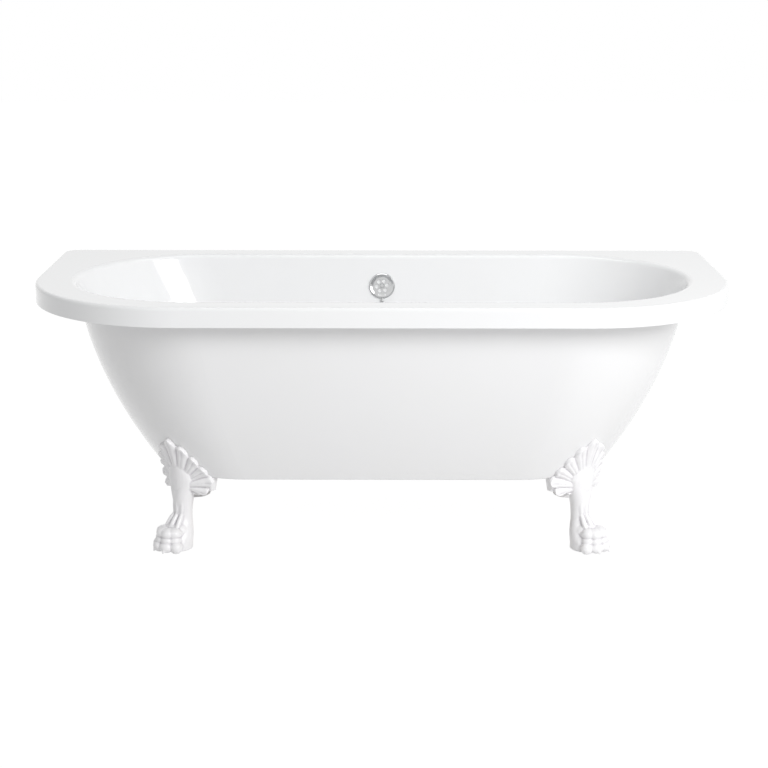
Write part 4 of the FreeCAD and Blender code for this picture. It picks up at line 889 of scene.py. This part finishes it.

# %% [markdown]
# ## The plug chain
# The chain leaves the overflow rose, hangs down the tub's back wall, and lies in a loose bow on the floor
# before it climbs to the plug's ring. Oval links of thin wire follow that line, each turned a quarter
# from the last. The line's points are the measured model's own.

# %% The chain's line
CHAIN_ROUTE = (
    (0.0, 0.2642, 0.5034), (0.0015, 0.255, 0.458), (-0.0015, 0.2426, 0.406), (0.0015, 0.231, 0.357),
    (-0.001, 0.2198, 0.309), (0.0, 0.2096, 0.2645), (0.002, 0.1921, 0.2392), (0.006, 0.166, 0.2266),
    (0.016, 0.139, 0.2266), (0.032, 0.112, 0.2266), (0.04, 0.082, 0.2266), (0.042, 0.058, 0.2266),
    (0.039, 0.036, 0.2269), (0.033, 0.02, 0.2298), (0.0245, 0.0085, 0.2336), (0.0144, 0.0007, 0.235),
)
SPLINE_STEPS = 24
LINK_WIDTH = 0.0056
LINK_WIRE = 0.0011
LINK_PITCH = 0.0058


def smooth_line(route):
    """Points along the route's NURBS spline."""
    curve = bpy.data.curves.new("route", "CURVE")
    curve.dimensions = "3D"
    curve.resolution_u = SPLINE_STEPS
    spline = curve.splines.new("NURBS")
    spline.points.add(len(route) - 1)
    for point, place in zip(spline.points, route):
        point.co = (*place, 1.0)
    spline.order_u = 3
    spline.use_endpoint_u = True
    thing = bpy.data.objects.new("route", curve)
    bpy.context.scene.collection.objects.link(thing)
    bpy.context.view_layer.update()
    finished = thing.evaluated_get(bpy.context.evaluated_depsgraph_get())
    mesh = bpy.data.meshes.new_from_object(finished)
    points = [vert.co.copy() for vert in mesh.vertices]
    bpy.data.objects.remove(thing)
    bpy.data.meshes.remove(mesh)
    return points


def evenly(points, pitch):
    """Places at equal steps along a line, each with the line's direction there."""
    places, walked, due = [], 0.0, pitch / 2
    for start, end in zip(points, points[1:]):
        run = (end - start).length
        while due <= walked + run:
            places.append((start + (end - start) * ((due - walked) / run), (end - start).normalized()))
            due += pitch
        walked += run
    return places


print(len(CHAIN_ROUTE), "points on the chain's line")

# %% [markdown]
# ## Oval links
# A link is a short wire bent into an oval and closed. In the picture it is about two pixels wide, so few
# faces are enough: each half turn has five steps and the wire has five sides. The links are separate
# closed rings, and each passes through the next, as in a real chain.

# %% Oval links
LINK_TURN_STEPS = 5
WIRE_SIDES = 5
# No stretch of the line runs along this direction, so it can always turn a link to one side.
LEAN = Vector((0.31, 0.2, 0.93))


def link_ring():
    """The middle line of one link: two straight sides and two half turns, with outward directions."""
    bend = (LINK_WIDTH - LINK_WIRE) / 2
    half = LINK_PITCH / 2 + LINK_WIRE / 2 - bend
    ring = []
    for end in (1, -1):
        for step in range(LINK_TURN_STEPS + 1):
            turn = math.pi * step / LINK_TURN_STEPS - math.pi / 2
            outward = Vector((math.cos(turn), math.sin(turn), 0)) * end
            ring.append((Vector((half * end, 0, 0)) + outward * bend, outward))
    return ring


def add_link(chain, place, along, quarter):
    """One link of wire at a place, its long way along the line."""
    side = along.cross(LEAN).normalized()
    if quarter:
        side = side.cross(along).normalized()
    axes = Matrix((along, side, along.cross(side))).transposed()
    loops = []
    for centre, outward in link_ring():
        loop = []
        for step in range(WIRE_SIDES):
            turn = 2 * math.pi * step / WIRE_SIDES
            off = (outward * math.cos(turn) + Vector((0, 0, 1)) * math.sin(turn)) * LINK_WIRE / 2
            loop.append(chain.verts.new(place + axes @ (centre + off)))
        loops.append(loop)
    for loop, after in zip(loops, loops[1:] + loops[:1]):
        for step in range(WIRE_SIDES):
            turned = (step + 1) % WIRE_SIDES
            chain.faces.new((loop[step], loop[turned], after[turned], after[step]))


def make_chain():
    """Links along the line, held to the bath at the rose and to the plug at its ring."""
    line = smooth_line(CHAIN_ROUTE)
    links = evenly(line, LINK_PITCH)
    chain = bmesh.new()
    for index, (place, along) in enumerate(links):
        add_link(chain, place, along, index % 2)
    bmesh.ops.recalc_face_normals(chain, faces=chain.faces)
    for face in chain.faces:
        face.smooth = True
    mesh = bpy.data.meshes.new("plug_chain_links")
    chain.to_mesh(mesh)
    chain.free()
    made = bpy.data.objects.new("plug_chain_links", mesh)
    bpy.context.scene.collection.objects.link(made)
    dress(made, "chain")
    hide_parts("plug_chain")
    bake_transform(made)
    print(len(links), "links")


make_chain()

# %% [markdown]
# ## The studio
# A white bath on a white ground is drawn by soft shade alone. A wide lamp to the front right gives the long
# side its slow gradient and leaves the left end grey, a weak one overhead lifts what faces up, and the world
# fills the rest at a plain level. The camera sees the ground and the world as white, so no shadow shows on
# the ground, but to the light that bounces off it the ground is still a pale matt surface.

# %% White world
WORLD_FILL = 0.48
WHITE = (1.0, 1.0, 1.0)
world = bpy.data.worlds.new("studio")
bpy.context.scene.world = world
world.use_nodes = True
sky = world.node_tree
sky.nodes.clear()


def seen_directly(tree):
    """A mask that is 1 for rays from the camera, a mirror or a clear surface, and 0 for the rest."""
    rays = tree.nodes.new("ShaderNodeLightPath")
    total = rays.outputs["Is Camera Ray"]
    for name in ("Is Glossy Ray", "Is Transmission Ray"):
        add = tree.nodes.new("ShaderNodeMath")
        add.operation = "ADD"
        add.use_clamp = True
        tree.links.new(total, add.inputs[0])
        tree.links.new(rays.outputs[name], add.inputs[1])
        total = add.outputs[0]
    return total


sky_out = sky.nodes.new("ShaderNodeOutputWorld")
sky_light = sky.nodes.new("ShaderNodeBackground")
sky.links.new(mix_values(sky, seen_directly(sky), WORLD_FILL, 1.0), sky_light.inputs["Strength"])
sky_light.inputs["Color"].default_value = (*WHITE, 1.0)
sky.links.new(sky_light.outputs[0], sky_out.inputs["Surface"])
print("world fill", WORLD_FILL)


# %% Pale floor
FLOOR_GREY = (0.85, 0.85, 0.85)
# How bright the ground looks to the camera, and how much of what it sees is that brightness.
FLOOR_GLOW, FLOOR_GLOW_SHARE = 1.05, 0.94
FLOOR_REACH = 12.0
FLOOR_DROP = 0.0005


def make_floor():
    """A wide square of ground just below the feet, kept apart from the bath."""
    material = bpy.data.materials.new("floor")
    material.use_nodes = True
    tree = material.node_tree
    tree.nodes.clear()
    out = tree.nodes.new("ShaderNodeOutputMaterial")
    matt = tree.nodes.new("ShaderNodeBsdfDiffuse")
    matt.inputs["Color"].default_value = (*FLOOR_GREY, 1.0)
    white = tree.nodes.new("ShaderNodeEmission")
    white.inputs["Strength"].default_value = FLOOR_GLOW
    blend = tree.nodes.new("ShaderNodeMixShader")
    tree.links.new(mix_values(tree, seen_directly(tree), 0.0, FLOOR_GLOW_SHARE), blend.inputs[0])
    tree.links.new(matt.outputs[0], blend.inputs[1])
    tree.links.new(white.outputs[0], blend.inputs[2])
    tree.links.new(blend.outputs[0], out.inputs["Surface"])
    mesh = bpy.data.meshes.new("floor")
    ground = bmesh.new()
    bmesh.ops.create_grid(ground, x_segments=1, y_segments=1, size=FLOOR_REACH)
    ground.to_mesh(mesh)
    ground.free()
    mesh.materials.append(material)
    floor = bpy.data.objects.new("floor", mesh)
    floor.location = (0.0, 0.0, -FLOOR_DROP)
    bpy.context.scene.collection.objects.link(floor)
    print(f"the floor reaches {max(vert.co.x for vert in mesh.vertices):.0f} m to each side")


make_floor()


# %% Lamps
def soft_lamp(name, place, aim, size, watts):
    """A flat lamp at a place, turned to look at a point."""
    data = bpy.data.lights.new(name, "AREA")
    data.shape = "RECTANGLE"
    data.size, data.size_y = size
    data.energy = watts
    lamp = bpy.data.objects.new(name, data)
    lamp.location = place
    lamp.rotation_euler = (Vector(aim) - Vector(place)).to_track_quat("-Z", "Y").to_euler()
    bpy.context.scene.collection.objects.link(lamp)


soft_lamp("key", place=(2.3, -3.0, 2.6), aim=(0.1, 0.0, 0.4), size=(1.8, 1.8), watts=108.0)
soft_lamp("overhead", place=(0.0, 0.1, 2.4), aim=(0.0, 0.0, 0.2), size=(1.5, 0.5), watts=4.0)
bpy.context.scene.view_settings.view_transform = "Standard"
print("two lamps and the world")
